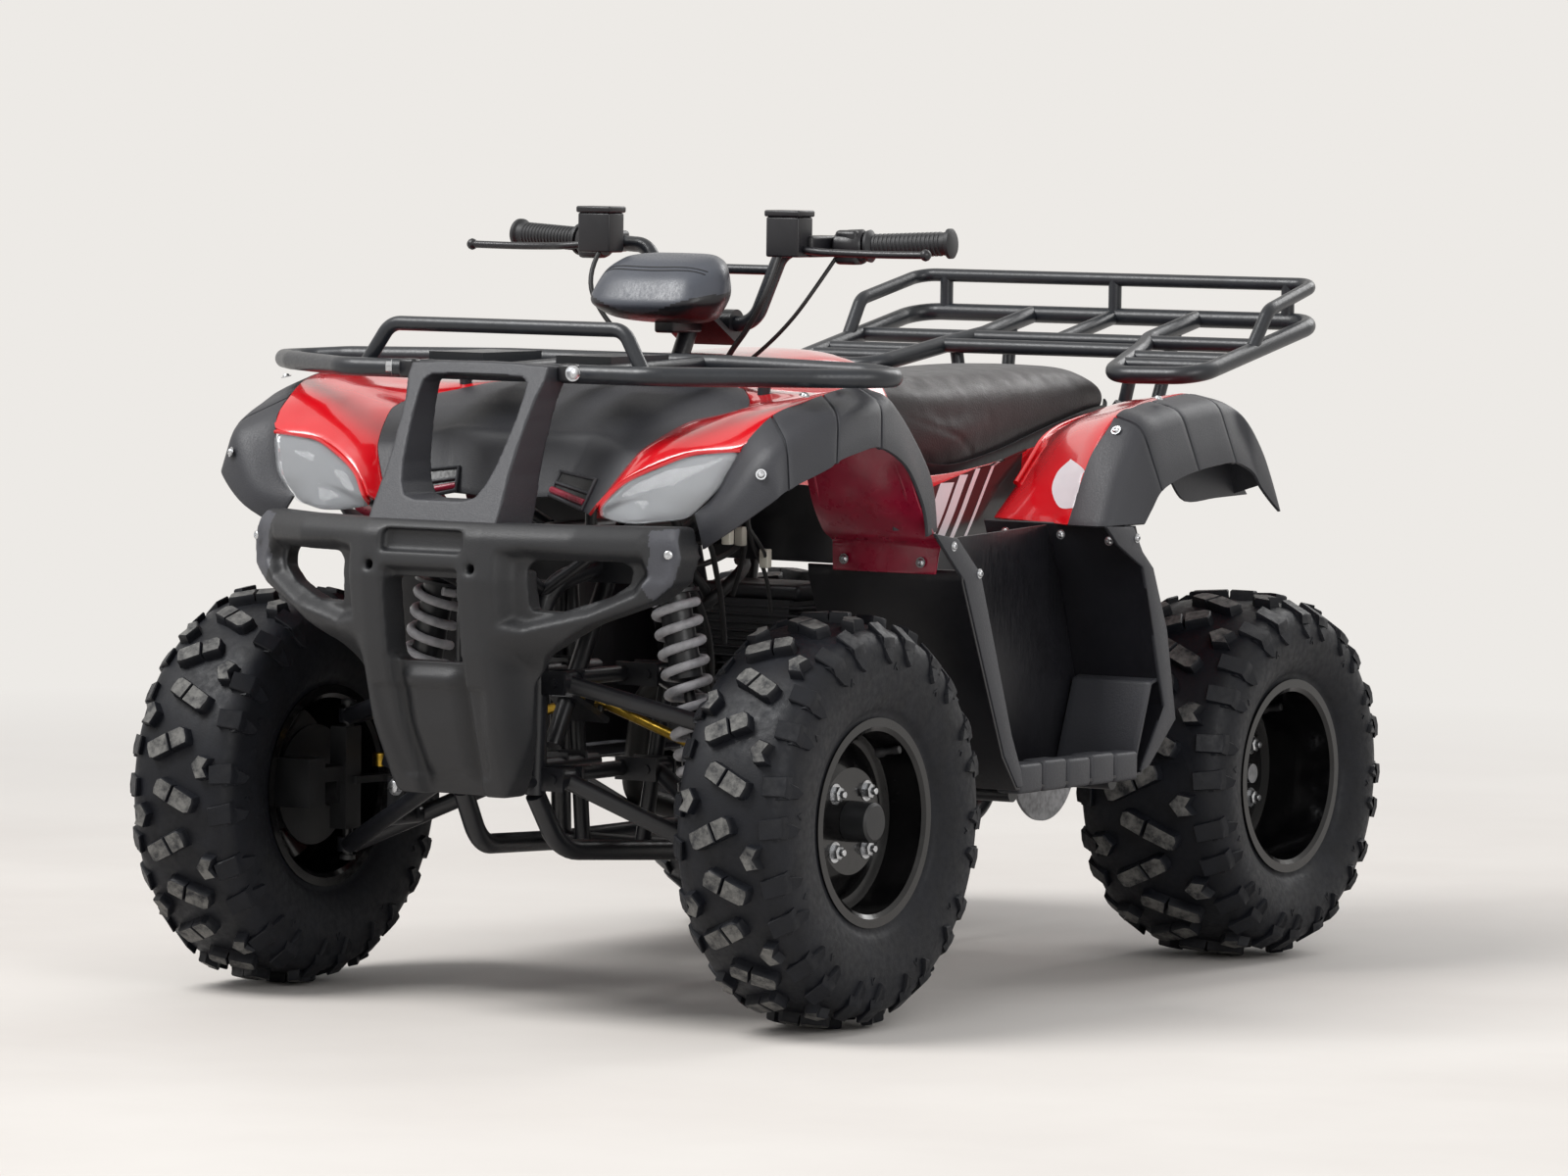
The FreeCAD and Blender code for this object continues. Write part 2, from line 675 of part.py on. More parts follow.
def shock(top, low, radius, wire, turns, body_radius, across):
    """A coil-over damper: eyes, body, rod and spring seats with the coil between them."""
    way = (low - top).normalize()
    length = (low - top).Length
    eye = body_radius
    parts = [rod(top - across * EYE_HALF, top + across * EYE_HALF, eye),
             rod(low - across * EYE_HALF, low + across * EYE_HALF, eye),
             rod(top, top + way * (length * 0.5), body_radius * 0.8),
             rod(top + way * (length * 0.4), low, 7),
             rod(top + way * (eye + 8), top + way * (eye + 14), radius),
             rod(low - way * (eye + 16), low - way * (eye + 10), radius),
             ]
    shape = fused(parts)
    for end in (top, low):
        shape = shape.cut(rod(end - across * 20, end + across * 20, BOLT_RADIUS + size("seat_gap")))
    room = wire + size("seat_gap")
    spring = coil(top + way * (eye + 14 + room), low - way * (eye + 16 + room), radius, wire, turns)
    return Part.makeCompound([shape, spring])


front_shock = shock(shock_top, shock_low, size("spring_radius"), size("spring_wire"), 9, 15, V(0, 1, 0))
feature("front_shocks", Part.makeCompound(front_shock.Solids + mirrored(front_shock).Solids))


# Knuckles
def knuckle(side, sign):
    """Upright with its kingpin, stub axle, steering arm and brake caliper."""
    post = V(size("kingpin_x"), front_y, 0)
    top = size("upper_ball_z")
    low = size("lower_ball_z")
    hub_back = size("front_disc_x") - size("disc_wall") - 74
    parts = [
        Part.makeCylinder(KINGPIN_BOLT, top - low + 44, V(post.x, post.y, low - 22)),
        block((post.x - 9, post.y - 18, low + 22), (post.x + 18, post.y + 18, top - 10 - 5)),
        rod((post.x, post.y, front_z), (size("front_disc_x"), post.y, front_z), size("spindle_radius")),
        rod((post.x, post.y, front_z), (hub_back - 3, post.y, front_z), 28),
        Part.makeCylinder(11, 6, V(post.x, post.y, top + 10 + 5)),
        Part.makeCylinder(11, 6, V(post.x, post.y, low - 10 - 11)),
    ]
    eye = V(post.x - size("steer_arm_inset"), post.y + size("steer_arm_reach"), size("steer_eye_z"))
    parts.append(prism([V(post.x - 14, post.y, eye.z - 20), V(post.x + 14, post.y, eye.z - 20),
                        V(eye.x + 11, eye.y, eye.z - 20), V(eye.x - 11, eye.y, eye.z - 20)], V(0, 0, 10)))
    parts.append(Part.makeCylinder(13, 10, V(eye.x, eye.y, eye.z - 20)))
    disc = hub_back + size("brake_disc_wall") / 2
    reach = size("brake_disc_radius")
    parts.append(block((post.x - 4, post.y - reach - 14, front_z - 24), (disc - 8, post.y - reach + 24, front_z + 44)))
    parts.append(block((post.x - 4, post.y - reach + 10, front_z + 10), (disc - 8, post.y, front_z + 30)))
    parts.append(block((disc - 8, post.y - reach - 14, front_z - 24), (disc + 16, post.y - reach - 5, front_z + 44)))
    shape = fused(parts)
    return shape if sign > 0 else mirrored(shape)


for side, sign in SIDES:
    feature("knuckle_" + side, knuckle(side, sign))


# Steering
def on_stem(along):
    return stem_foot + stem_axis * along


clamp = V(0, bar_y, size("bar_clamp_z"))
stem_top = (clamp - stem_foot).dot(stem_axis) - 26
pin_height = 30


def drop_pin(sign):
    return stem_foot + V(sign * size("rod_pin_x"), size("drop_arm_reach"), 0)


def stem():
    """Tilted shaft with the drop arm at its foot and the bar clamp at its head."""
    parts = [rod(on_stem(-42), on_stem(stem_top), size("stem_radius"))]
    plate_top = on_stem(6)
    across = V(1, 0, 0)
    back = V(0, math.cos(tilt), -math.sin(tilt))
    pin_back = (drop_pin(1) - stem_foot).dot(back)
    pin_up = (drop_pin(1) - stem_foot).dot(stem_axis)
    base = on_stem(pin_up - 4)
    corners = [(-20, -18), (20, -18), (size("rod_pin_x") + 12, pin_back + 10), (-size("rod_pin_x") - 12, pin_back + 10)]
    parts.append(prism([base + across * a + back * b for a, b in corners], stem_axis * 8))
    for sign in (1, -1):
        foot = drop_pin(sign)
        parts.append(rod(foot, foot + stem_axis * pin_height, 5))
    head = on_stem(stem_top)
    middle = (clamp - head).dot(back)
    plate = [(-48, -20), (48, -20), (48, middle + 16), (-48, middle + 16)]
    parts.append(prism([head + across * a + back * b for a, b in plate], stem_axis * 8))
    for sign in (1, -1):
        seat = V(sign * 36, clamp.y, clamp.z)
        parts.append(rod(seat - V(9, 0, 0), seat + V(9, 0, 0), size("bar_radius") + 9))
        parts.append(rod(seat - stem_axis * 20, seat, 9))
    shape = fused(parts)
    return shape.cut(rod(clamp - V(60, 0, 0), clamp + V(60, 0, 0), size("bar_radius") + size("seat_gap")))


feature("steering_stem", stem())

grip_end = V(size("bar_half_width"), bar_y + 55, size("bar_clamp_z") + size("bar_rise") + 6)
grip_start = V(size("bar_half_width") - size("grip_length"), bar_y + 34, size("bar_clamp_z") + size("bar_rise"))
bar_knee = V(112, bar_y + 14, size("bar_clamp_z") + size("bar_rise") - 6)
bar_foot = V(74, clamp.y, clamp.z)


def bar_points():
    half = [bar_foot, bar_knee, grip_start, grip_end]
    other = [V(-point.x, point.y, point.z) for point in reversed(half)]
    return other + half


bar = tube([tuple(point) for point in bar_points()], size("bar_radius"), 34)
brace = rod((-bar_knee.x + 12, bar_knee.y - 4, bar_knee.z - 30), (bar_knee.x - 12, bar_knee.y - 4, bar_knee.z - 30), 7)
feature("handlebar", fused([bar, brace]))


def hand_control():
    """Grip, switch and master cylinder housing, square reservoir and lever."""
    way = (grip_end - grip_start).normalize()
    inner = grip_start - way * 62
    parts = [rod(grip_start, grip_end + way * 2, size("grip_radius")),
             rod(grip_end - way * 4, grip_end + way * 2, size("grip_radius") + 4),
             rod(inner, grip_start, size("grip_radius") + 3)]
    tank = V(158, bar_y - 42, size("bar_clamp_z") + size("bar_rise") - 10)
    parts.append(block((tank.x - 34, tank.y - 20, tank.z), (tank.x + 34, tank.y + 20, tank.z + 59)))
    parts.append(block((tank.x + 6, tank.y, tank.z - 6), (tank.x + 34, inner.y + 6, tank.z + 24)))
    lever_tip = V(380, bar_y - 40, size("bar_clamp_z") + size("bar_rise") - 9)
    knee = V(250, lever_tip.y - 2, lever_tip.z)
    parts.append(tube([(tank.x + 20, tank.y, tank.z + 6), tuple(knee), tuple(lever_tip)], 6, 60))
    parts.append(Part.makeSphere(9, lever_tip))
    shape = fused(parts)
    return shape.cut(tube([tuple(point) for point in bar_points()], size("bar_radius") + size("seat_gap"), 34))


control = hand_control()
feature("hand_control_left", control)
feature("hand_control_right", mirrored(control))


def pod():
    """Faceted instrument housing ahead of the bar."""
    y = bar_y
    z = size("bar_clamp_z")
    low = [(-62, -178, 12), (62, -178, 12), (84, -120, 8), (70, -52, -4), (-70, -52, -4), (-84, -120, 8)]
    mid = [(-84, -186, 30), (84, -186, 30), (112, -120, 38), (96, -44, 40), (-96, -44, 40), (-112, -120, 38)]
    top = [(-56, -140, 66), (56, -140, 66), (78, -104, 84), (66, -56, 88), (-66, -56, 88), (-78, -104, 84)]
    return faceted([[V(a, y + b, z + c) for a, b, c in ring] for ring in (low, mid, top)])


pod_bracket = block((-16, bar_y - 120, size("bar_clamp_z") - 14), (16, bar_y - 40, size("bar_clamp_z") + 8))
feature("instrument_pod", largest(fused([pod(), pod_bracket]).cut(rod(on_stem(stem_top - 30), on_stem(stem_top + 8.3), 60))))


def tie_rod():
    """Rod from the drop arm's pin to above the knuckle arm, an eye at each end."""
    pin = drop_pin(1)
    near = pin + stem_axis * (pin_height - 8)
    eye = V(size("kingpin_x") - size("steer_arm_inset"), front_y + size("steer_arm_reach"), size("steer_eye_z") + 10)
    parts = [rod(near - stem_axis * 6.7, near + stem_axis * 6.7, 11),
             rod(near, eye, size("tie_rod_radius")),
             Part.makeCylinder(12, 18, eye - V(0, 0, 9))]
    shape = fused(parts)
    return shape.cut(rod(pin - stem_axis * 30, pin + stem_axis * 40, 5 + size("running_gap")))


feature("tie_rod_left", tie_rod())
feature("tie_rod_right", mirrored(tie_rod()))


# Frame lines that the panels and racks also use
FRAME = size("frame_tube_radius")
NOSE_HALF = 60
low_half = size("frame_half_low")
high_half = size("frame_half_high")
floor_z = size("frame_floor_z")
top_z = size("frame_top_z")
nose_y = fore(-108)


def upper_rail():
    """Corners of the left upper rail, from the nose to the tail."""
    return [(NOSE_HALF, nose_y - 20, 300), (NOSE_HALF, nose_y - 14, top_z - 60), (high_half, fore(130), top_z),
            (high_half, fore(650), top_z), (high_half + 20, aft(-190), top_z + 30), (high_half + 26, aft(240), size("seat_rail_z"))]



# Engine and exhaust
def engine():
    """Crankcase with a leaning cylinder and a round cover on each side."""
    body = new_body("engine", y="wheelbase / 2 - engine_centre")
    case = (("-60", "frame_floor_z + 24"), ("250", "frame_floor_z + 24"), ("270", "frame_floor_z + 70"),
            ("250", "frame_floor_z + 180"), ("90", "frame_floor_z + 205"), ("20", "frame_floor_z + 330"),
            ("-110", "frame_floor_z + 330"), ("-140", "frame_floor_z + 90"))
    padded(body, outline(body, "YZ_Plane", "engine_side", case), "engine_block", "engine_width", midplane=True)
    cover = circles(body, "YZ_Plane", "engine_cover", [("60", "frame_floor_z + 108", "engine_cover_radius")])
    padded(body, cover, "engine_covers", "engine_width + 30", midplane=True)
    return body


engine_body = engine()
doc.recompute()
crankcase = engine_body.Shape


def exhaust():
    """Pipe from the cylinder down along the right side to the silencer above the axle."""
    line = [(-50, aft(-690), 440), (-50, aft(-750), 440), (-120, aft(-780), 400), (-165, aft(-740), 250),
            (-168, aft(-470), 186), (-175, aft(-190), 186), (-196, aft(-110), 300), (-205, aft(-70), 590),
            (-205, aft(-30), 606)]
    can_start = V(-205, aft(-40), 606)
    can_end = V(-205, aft(250), 640)
    parts = [tube(line, 17, 60), rod(can_start, can_end, size("silencer_radius")),
             rod(can_end - V(0, 10, 0), can_end + V(0, 34, 3), 14)]
    return largest(rested(fused(parts), crankcase, (0, -1, 0)))


silencer = exhaust()
feature("exhaust", silencer)


def swingarm():
    """Two legs from the pivot to the bearing carrier round the axle, with the damper's lower ears."""
    pivot = V(0, aft(-size("swingarm_length")), size("swingarm_pivot_z"))
    axle = V(0, rear_y, rear_z)
    parts = [rod(pivot - V(72, 0, 0), pivot + V(84, 0, 0), 18), rod(axle - V(44, 0, 0), axle + V(52, 0, 0), 38)]
    for x in (-34, 44):
        parts.append(rod((x, pivot.y, pivot.z), (x, axle.y, axle.z), 14))
    eye = rear_shock_low
    leg_z = eye.z - 46
    parts.append(rod((-34, eye.y, leg_z), (44, eye.y, leg_z), 10))
    for edge in (-1, 1):
        x = edge * (EYE_HALF + GAP + 2.5)
        parts.append(block((x - 2.5, eye.y - 14, leg_z - 4), (x + 2.5, eye.y + 14, eye.z + 14)))
    parts.append(rod(eye - V(EYE_HALF + 8, 0, 0), eye + V(EYE_HALF + 8, 0, 0), BOLT_RADIUS))
    hitch = size("hitch_half_width")
    half_wall = size("hitch_wall") / 2
    parts.append(block((-hitch, aft(20), rear_z - half_wall), (hitch, aft(size("hitch_reach")) + 22, rear_z + half_wall)))
    shape = fused(parts)
    hole = V(0, aft(size("hitch_reach")), rear_z - 20)
    shape = shape.cut(Part.makeCylinder(size("hitch_hole_radius"), 40, hole))
    shape = shape.cut(rod(axle - V(90, 0, 0), axle + V(90, 0, 0), size("axle_radius") + size("running_gap")))
    return shape.cut(rod(pivot - V(120, 0, 0), pivot + V(120, 0, 0), PIVOT_BOLT + GAP))


PIVOT_BOLT = 8
rear_shock_low = V(0, aft(-76), rear_z + 62)
rear_shock_top = V(0, aft(-130), size("frame_top_z") + 32)
feature("swingarm", swingarm())
feature("rear_shock", shock(rear_shock_top, rear_shock_low, size("rear_spring_radius"), 6, 7, 16, V(1, 0, 0)))


# Front guard
def bumper_levels():
    """Heights down the bumper, each with how far it leans back."""
    top = size("bumper_top_z")
    low = size("bib_bottom_z")
    return (top + 2, 8), (top - 76, 0), (low + 197, 14), (low + 97, 42), (low - 2, 86)


def bumper_back(z):
    """Rear face of the bumper at its middle."""
    for (high, lean_high), (low, lean_low) in zip(bumper_levels(), bumper_levels()[1:]):
        if low <= z <= high:
            lean = lean_low + (lean_high - lean_low) * (z - low) / (high - low)
            return fore(-size("bumper_reach")) + size("bumper_depth") + lean


def bumper_shell(depth, inset=0):
    """Curved plate: bowed in plan, its foot leaning back."""
    half = size("bumper_half_width") + 16
    flat = size("bumper_flat")
    stations = [-half, -0.62 * half, -flat, flat, 0.62 * half, half]
    bow = [size("bumper_bow") * max(0, (abs(x) - flat) / (half - flat)) ** 1.7 for x in stations]
    sections = []
    for z, lean in bumper_levels():
        front = fore(-size("bumper_reach")) + lean + inset
        ahead = [V(x, front + b, z) for x, b in zip(stations, bow)]
        behind = [V(x, front + b + depth, z) for x, b in zip(stations, bow)]
        sections.append(ahead + behind[::-1])
    return loft(sections, True)


def through(points):
    """A prism along the machine, for openings seen from ahead."""
    return prism([V(x, fore(-510), z) for x, z in points], V(0, 510, 0))


def both_ways(points):
    return [points, [(-x, z) for x, z in points]]


def bumper():
    top = size("bumper_top_z")
    low = size("bib_bottom_z")
    half = size("bumper_half_width")
    right = [(0, top), (half, top), (half + 10, top - 40), (half + 2, top - 76), (half - 24, top - 100), (240, top - 131),
             (165, top - 176), (136, top - 216), (126, low + 87), (104, low + 27), (88, low), (0, low)]
    edge = right + [(-x, z) for x, z in right[-2:0:-1]]
    shape = bumper_shell(size("bumper_depth")).common(through(edge))
    shape = shape.cut(through([(-52, 486), (52, 486), (60, 496), (60, 600), (-60, 600), (-60, 496)]))
    recess = through([(-66, top - 42), (66, top - 42), (66, top - 12), (-66, top - 12)])
    shape = shape.cut(recess.common(bumper_shell(size("recess_depth"))))
    panel = through([(-70, low + 24), (70, low + 24), (92, low + 150), (-92, low + 150)])
    shape = shape.cut(panel.common(bumper_shell(5)))
    for side_window in both_ways([(152, 560), (196, 560), (258, 582), (282, 600), (284, 618), (272, 628), (160, 628), (150, 618)]):
        shape = shape.cut(through(side_window))
    for pad in both_ways([(half - 34, top - 4), (half - 2, top - 4), (half + 4, top - 40), (half - 6, top - 74), (half - 52, top - 70)]):
        shape = shape.cut(through(pad).common(bumper_shell(3)))
    for sign in (1, -1):
        hole = V(sign * size("winch_hole_x"), fore(-510), size("winch_hole_z"))
        shape = shape.cut(Part.makeCylinder(size("winch_hole_radius"), 510, hole, V(0, 1, 0)))
    hollow = bumper_shell(size("bumper_depth"), size("bumper_skin"))
    for pocket in both_ways([(100, top - 66), (100, top - 24), (half - 60, top - 24), (half - 40, top - 44), (290, top - 46)]):
        shape = shape.cut(hollow.common(through(pocket)))
    return shape


guard = bumper()
feature("bumper", guard)


# Racks
def rack_strut(extra=0):
    """Left strut that carries the front rack on the frame, grown by extra."""
    z = size("front_rack_z")
    line = [(250, fore(138), z + 4), (246, fore(138), z - 60), (150, fore(144), top_z + 30), (112, fore(150), top_z + 8)]
    return tube(line, size("strut_radius") + extra, 40)


def front_rack():
    z = size("front_rack_z")
    half = size("front_rack_half")
    radius = size("rack_tube_radius")
    front = fore(-150)
    ring = [(0, front, z), (250, front, z), (half - 60, front + 130, z), (half, front + 190, z), (half, front + 240, z),
            (half - 60, front + 268, z + 4), (175, front + 290, z + 8), (0, front + 290, z + 8)]
    loop = tube(ring, radius, 60)
    parts = [loop, mirrored(loop)]
    for x in (0, 148, -148):
        parts.append(rod((x, front, z), (x, front + 290, z + 8), radius * 0.8))
    rail = [(228, front + 22, z + 4), (192, front + 28, z + 60), (0, front + 28, z + 60)]
    upper = tube(rail, size("rack_rod_radius"), 30)
    parts += [upper, mirrored(upper)]
    for sign in (1, -1):
        parts.append(rod((sign * 175, front + 20, z + 1), (sign * 260, front + 20, z + 1), radius * 0.8))
        parts.append(block((min(sign * 60, sign * 150), front + 60, z + 6), (max(sign * 60, sign * 150), front + 200, z + 22)))
    strut = rack_strut().cut(tube(upper_rail(), FRAME + GAP, 70))
    strut = largest(strut)
    parts += [strut, mirrored(strut)]
    return fused(parts)


feature("front_rack", front_rack())


def tower():
    """Open guard between the bumper and the front rack, its sides leaning back."""
    foot = size("bumper_top_z") - 28
    low = size("bumper_top_z")
    high = size("front_rack_z") + 6
    outer = [(-146, foot), (146, foot), (143, low + 6), (126, low + 60), (130, high - 50), (146, high), (-146, high),
             (-130, high - 50), (-126, low + 60), (-143, low + 6)]
    hole = [(-72, low + 26), (72, low + 26), (90, low + 40), (96, low + 66), (98, high - 36), (88, high - 24), (-88, high - 24),
            (-98, high - 36), (-96, low + 66), (-90, low + 40)]
    front = fore(-size("bumper_reach")) + 60
    depth = size("tower_depth")
    plate = prism([V(x, front, z) for x, z in outer], V(0, depth, 0))
    plate = plate.cut(prism([V(x, front - 5, z) for x, z in hole], V(0, depth + 10, 0)))
    lean = FreeCAD.Matrix()
    lean.A23 = 66 / (high - low)
    lean.A24 = -lean.A23 * low
    plate = plate.transformGeometry(lean)
    tube_y = fore(-150)
    plate = plate.cut(rod((-300, tube_y, size("front_rack_z")), (300, tube_y, size("front_rack_z")), size("rack_tube_radius") + GAP))
    return largest(rested(plate, guard, (0, 1, 0)))


feature("bumper_tower", tower())


def deck(x, back, up=0):
    """A place on the sloping rear rack, back behind the rear axle."""
    slope = size("rear_rack_slope") * (back - size("rear_rack_reach"))
    return (x, aft(back), size("rear_rack_end_z") + slope + up)


def rack_legs(extra=0):
    """Left legs from the rear rack to the seat rail, grown by extra."""
    rail_half = high_half + 26
    return [rod(deck(158, 110), (rail_half, aft(100), size("seat_rail_z") - 20), 10 + extra),
            rod(deck(145, 250), (rail_half, aft(196), size("seat_rail_z") - 8), 10 + extra)]


def rear_rack():
    half = size("rear_rack_half")
    radius = size("rack_tube_radius")
    reach = size("rear_rack_reach")
    outer = [deck(0, reach), deck(half, reach), deck(half, -45), deck(207, -55), deck(170, 100), deck(145, 170), deck(145, reach)]
    frame = tube(outer, radius, 45)
    parts = [frame, mirrored(frame)]
    parts.append(rod(deck(-half, 150), deck(half, 150), radius * 0.85))
    parts.append(rod(deck(-168, 94), deck(168, 94), radius * 0.85))
    parts.append(rod(deck(0, 150), deck(0, reach), radius * 0.85))
    for back in (10, 55):
        ear = rod(deck(190, back), deck(half, back), radius * 0.85)
        parts += [ear, mirrored(ear)]
    rail = [deck(half, 110), deck(half + 4, 155, 52), deck(half - 6, reach, 56), deck(0, reach, 56)]
    upper = tube(rail, size("rack_rod_radius"), 30)
    parts += [upper, mirrored(upper)]
    for x in (-300, 0, 300):
        parts.append(rod(deck(x, reach), deck(x, reach, 56), size("rack_rod_radius")))
    legs = rack_legs()
    shape = fused(parts + legs + [mirrored(leg) for leg in legs])
    saddle = tube(upper_rail(), FRAME + GAP, 70)
    return largest(shape.cut(saddle).cut(mirrored(saddle)))


cargo_rack = rear_rack()
feature("rear_rack", cargo_rack)


# Body panels
WALL = size("panel_wall")

# Seams that two panels share, each point as (x, y, z) on the left side
NOSE_SEAM = [(165, fore(-163), 685), (205, fore(-130), 751), (220, fore(-106), 777), (245, fore(-49), 807),
             (262, fore(-5), 816), (275, fore(42), 821), (250, fore(100), 832), (205, fore(156), 845),
             (166, fore(205), 845)]
FRONT_SEAM = [(386, fore(-122), 784), (400, fore(-76), 822), (412, fore(-30), 838), (425, fore(11), 849),
              (426, fore(55), 856), (425, fore(96), 857), (424, fore(135), 848), (424, fore(165), 795),
              (424, fore(188), 725), (424, fore(192), 660)]
REAR_SEAM = [(400, aft(-486), 648), (408, aft(-442), 740), (421, aft(-394), 799), (420, aft(-345), 811),
             (419, aft(-290), 818), (419, aft(-235), 823), (419, aft(-184), 826), (425, aft(-144), 818),
             (430, aft(-115), 790), (430, aft(-85), 735)]
TANK_SEAM = [(150, fore(260), 760), (165, aft(-690), 737), (182, aft(-532), 712)]


def beside(point, across=0, up=0):
    """A seam's point moved clear of the seam."""
    x, y, z = point
    return (x + across, y, z + up)


def front_flare():
    """Textured flare over a front wheel: seam, crest and lip at each station."""
    stations = [
        ([(330, fore(-155), 692), (342, fore(-160), 668), (346, fore(-158), 645)], (-0.5, 0.8, 0)),
        ([(352, fore(-145), 716), (385, fore(-170), 702), (404, fore(-168), 676)], (-0.5, 0.8, -0.2)),
        ([beside(FRONT_SEAM[0], GAP), (430, fore(-152), 765), (452, fore(-152), 712)], (-0.6, 0.5, -0.6)),
        ([beside(FRONT_SEAM[1], GAP), (454, fore(-122), 788), (466, fore(-134), 728)], (-0.6, 0.3, -0.7)),
        ([beside(FRONT_SEAM[2], GAP), (462, fore(-60), 812), (488, fore(-70), 755)], (-0.6, 0.1, -0.8)),
        ([beside(FRONT_SEAM[3], GAP), (468, fore(-17), 825), (490, fore(-54), 763)], (-0.6, 0, -0.8)),
        ([beside(FRONT_SEAM[4], GAP), (470, fore(35), 836), (490, fore(0), 774)], (-0.6, 0, -0.8)),
        ([beside(FRONT_SEAM[5], GAP), (470, fore(88), 838), (490, fore(57), 779)], (-0.6, 0, -0.8)),
        ([beside(FRONT_SEAM[6], GAP), (462, fore(122), 845), (490, fore(122), 752)], (-0.6, -0.3, -0.7)),
        ([beside(FRONT_SEAM[7], GAP), (458, fore(185), 800), (490, fore(162), 705)], (-0.6, -0.6, -0.3)),
        ([beside(FRONT_SEAM[8], GAP), (468, fore(225), 738), (490, fore(175), 675)], (-0.5, -0.8, 0)),
        ([beside(FRONT_SEAM[9], GAP), (472, fore(238), 662), (490, fore(178), 655)], (-0.5, -0.8, 0)),
    ]
    return band(grooved(stations, (3, 5, 7), size("groove_depth"), 0.1), WALL)


def rear_flare():
    """Flare over a rear wheel, with its return wall inside the rear end."""
    stations = [
        ([beside(REAR_SEAM[0], GAP, GAP), (462, aft(-496), 648 + GAP), (500, aft(-440), 652)], (0, 0.9, 0)),
        ([beside(REAR_SEAM[1], GAP), (462, aft(-453), 716), (500, aft(-420), 672)], (0, 0.9, -0.2)),
        ([beside(REAR_SEAM[2], GAP), (465, aft(-394), 786), (500, aft(-394), 696)], (-0.2, 0.6, -0.6)),
        ([beside(REAR_SEAM[3], GAP), (467, aft(-345), 799), (500, aft(-345), 712)], (-0.3, 0.2, -0.9)),
        ([beside(REAR_SEAM[4], GAP), (468, aft(-290), 807), (500, aft(-290), 722)], (-0.4, 0.1, -0.9)),
        ([beside(REAR_SEAM[5], GAP), (468, aft(-235), 813), (500, aft(-235), 728)], (-0.4, 0, -0.9)),
        ([beside(REAR_SEAM[6], GAP), (468, aft(-184), 816), (500, aft(-184), 730)], (-0.4, 0, -0.9)),
        ([beside(REAR_SEAM[7], GAP), (463, aft(-140), 812), (500, aft(-135), 715)], (-0.4, -0.2, -0.8)),
        ([beside(REAR_SEAM[8], GAP), (480, aft(-120), 795), (500, aft(-110), 692)], (-0.5, -0.5, -0.6)),
        ([beside(REAR_SEAM[9], GAP), (488, aft(-85), 748), (500, aft(-79), 670)], (-0.5, -0.8, -0.3)),
        ([(430, aft(-65), 680), (492, aft(-65), 700), (500, aft(-54), 655)], (-0.5, -0.8, 0)),
    ]
    flare = band(grooved(stations, (2, 4, 6), size("groove_depth"), 0.1), WALL)
    inner = [(aft(-249), 800), (aft(-249), 702), (aft(-230), 680), (aft(-207), 672), (aft(-30), 676), (aft(-70), 705),
             (aft(-90), 735), (aft(-120), 790), (aft(-150), 808)]
    wall = prism([V(REAR_SEAM[9][0] + GAP + 1, y, z) for y, z in inner], V(WALL, 0, 0))
    return fused([flare, wall])


# Headlight outlines seen from ahead: the lower edge, the outer tip and the brow above
LAMP_LOW = [(190, fore(-172), 684), (225, fore(-180), 677), (260, fore(-187), 676), (320, fore(-159), 684), (360, fore(-150), 722)]
LAMP_TOP = [(384, fore(-126), 776), (345, fore(-128), 773), (300, fore(-132), 766), (225, fore(-160), 731), (195, fore(-176), 698)]


def headlight():
    """Clear almond of a lamp with its bowl behind."""
    lens = [V(*point) for point in LAMP_LOW + LAMP_TOP]
    centre = sum(lens, V()) * (1 / len(lens))

    def ring(share, back):
        return [centre + (point - centre) * share + V(0, back, 0) for point in lens]

    return faceted([ring(0.6, -13), ring(0.86, -8), ring(1, 0), ring(0.93, 16), ring(0.5, 62)])


lamp = headlight()
feature("headlights", both_sides(lamp))


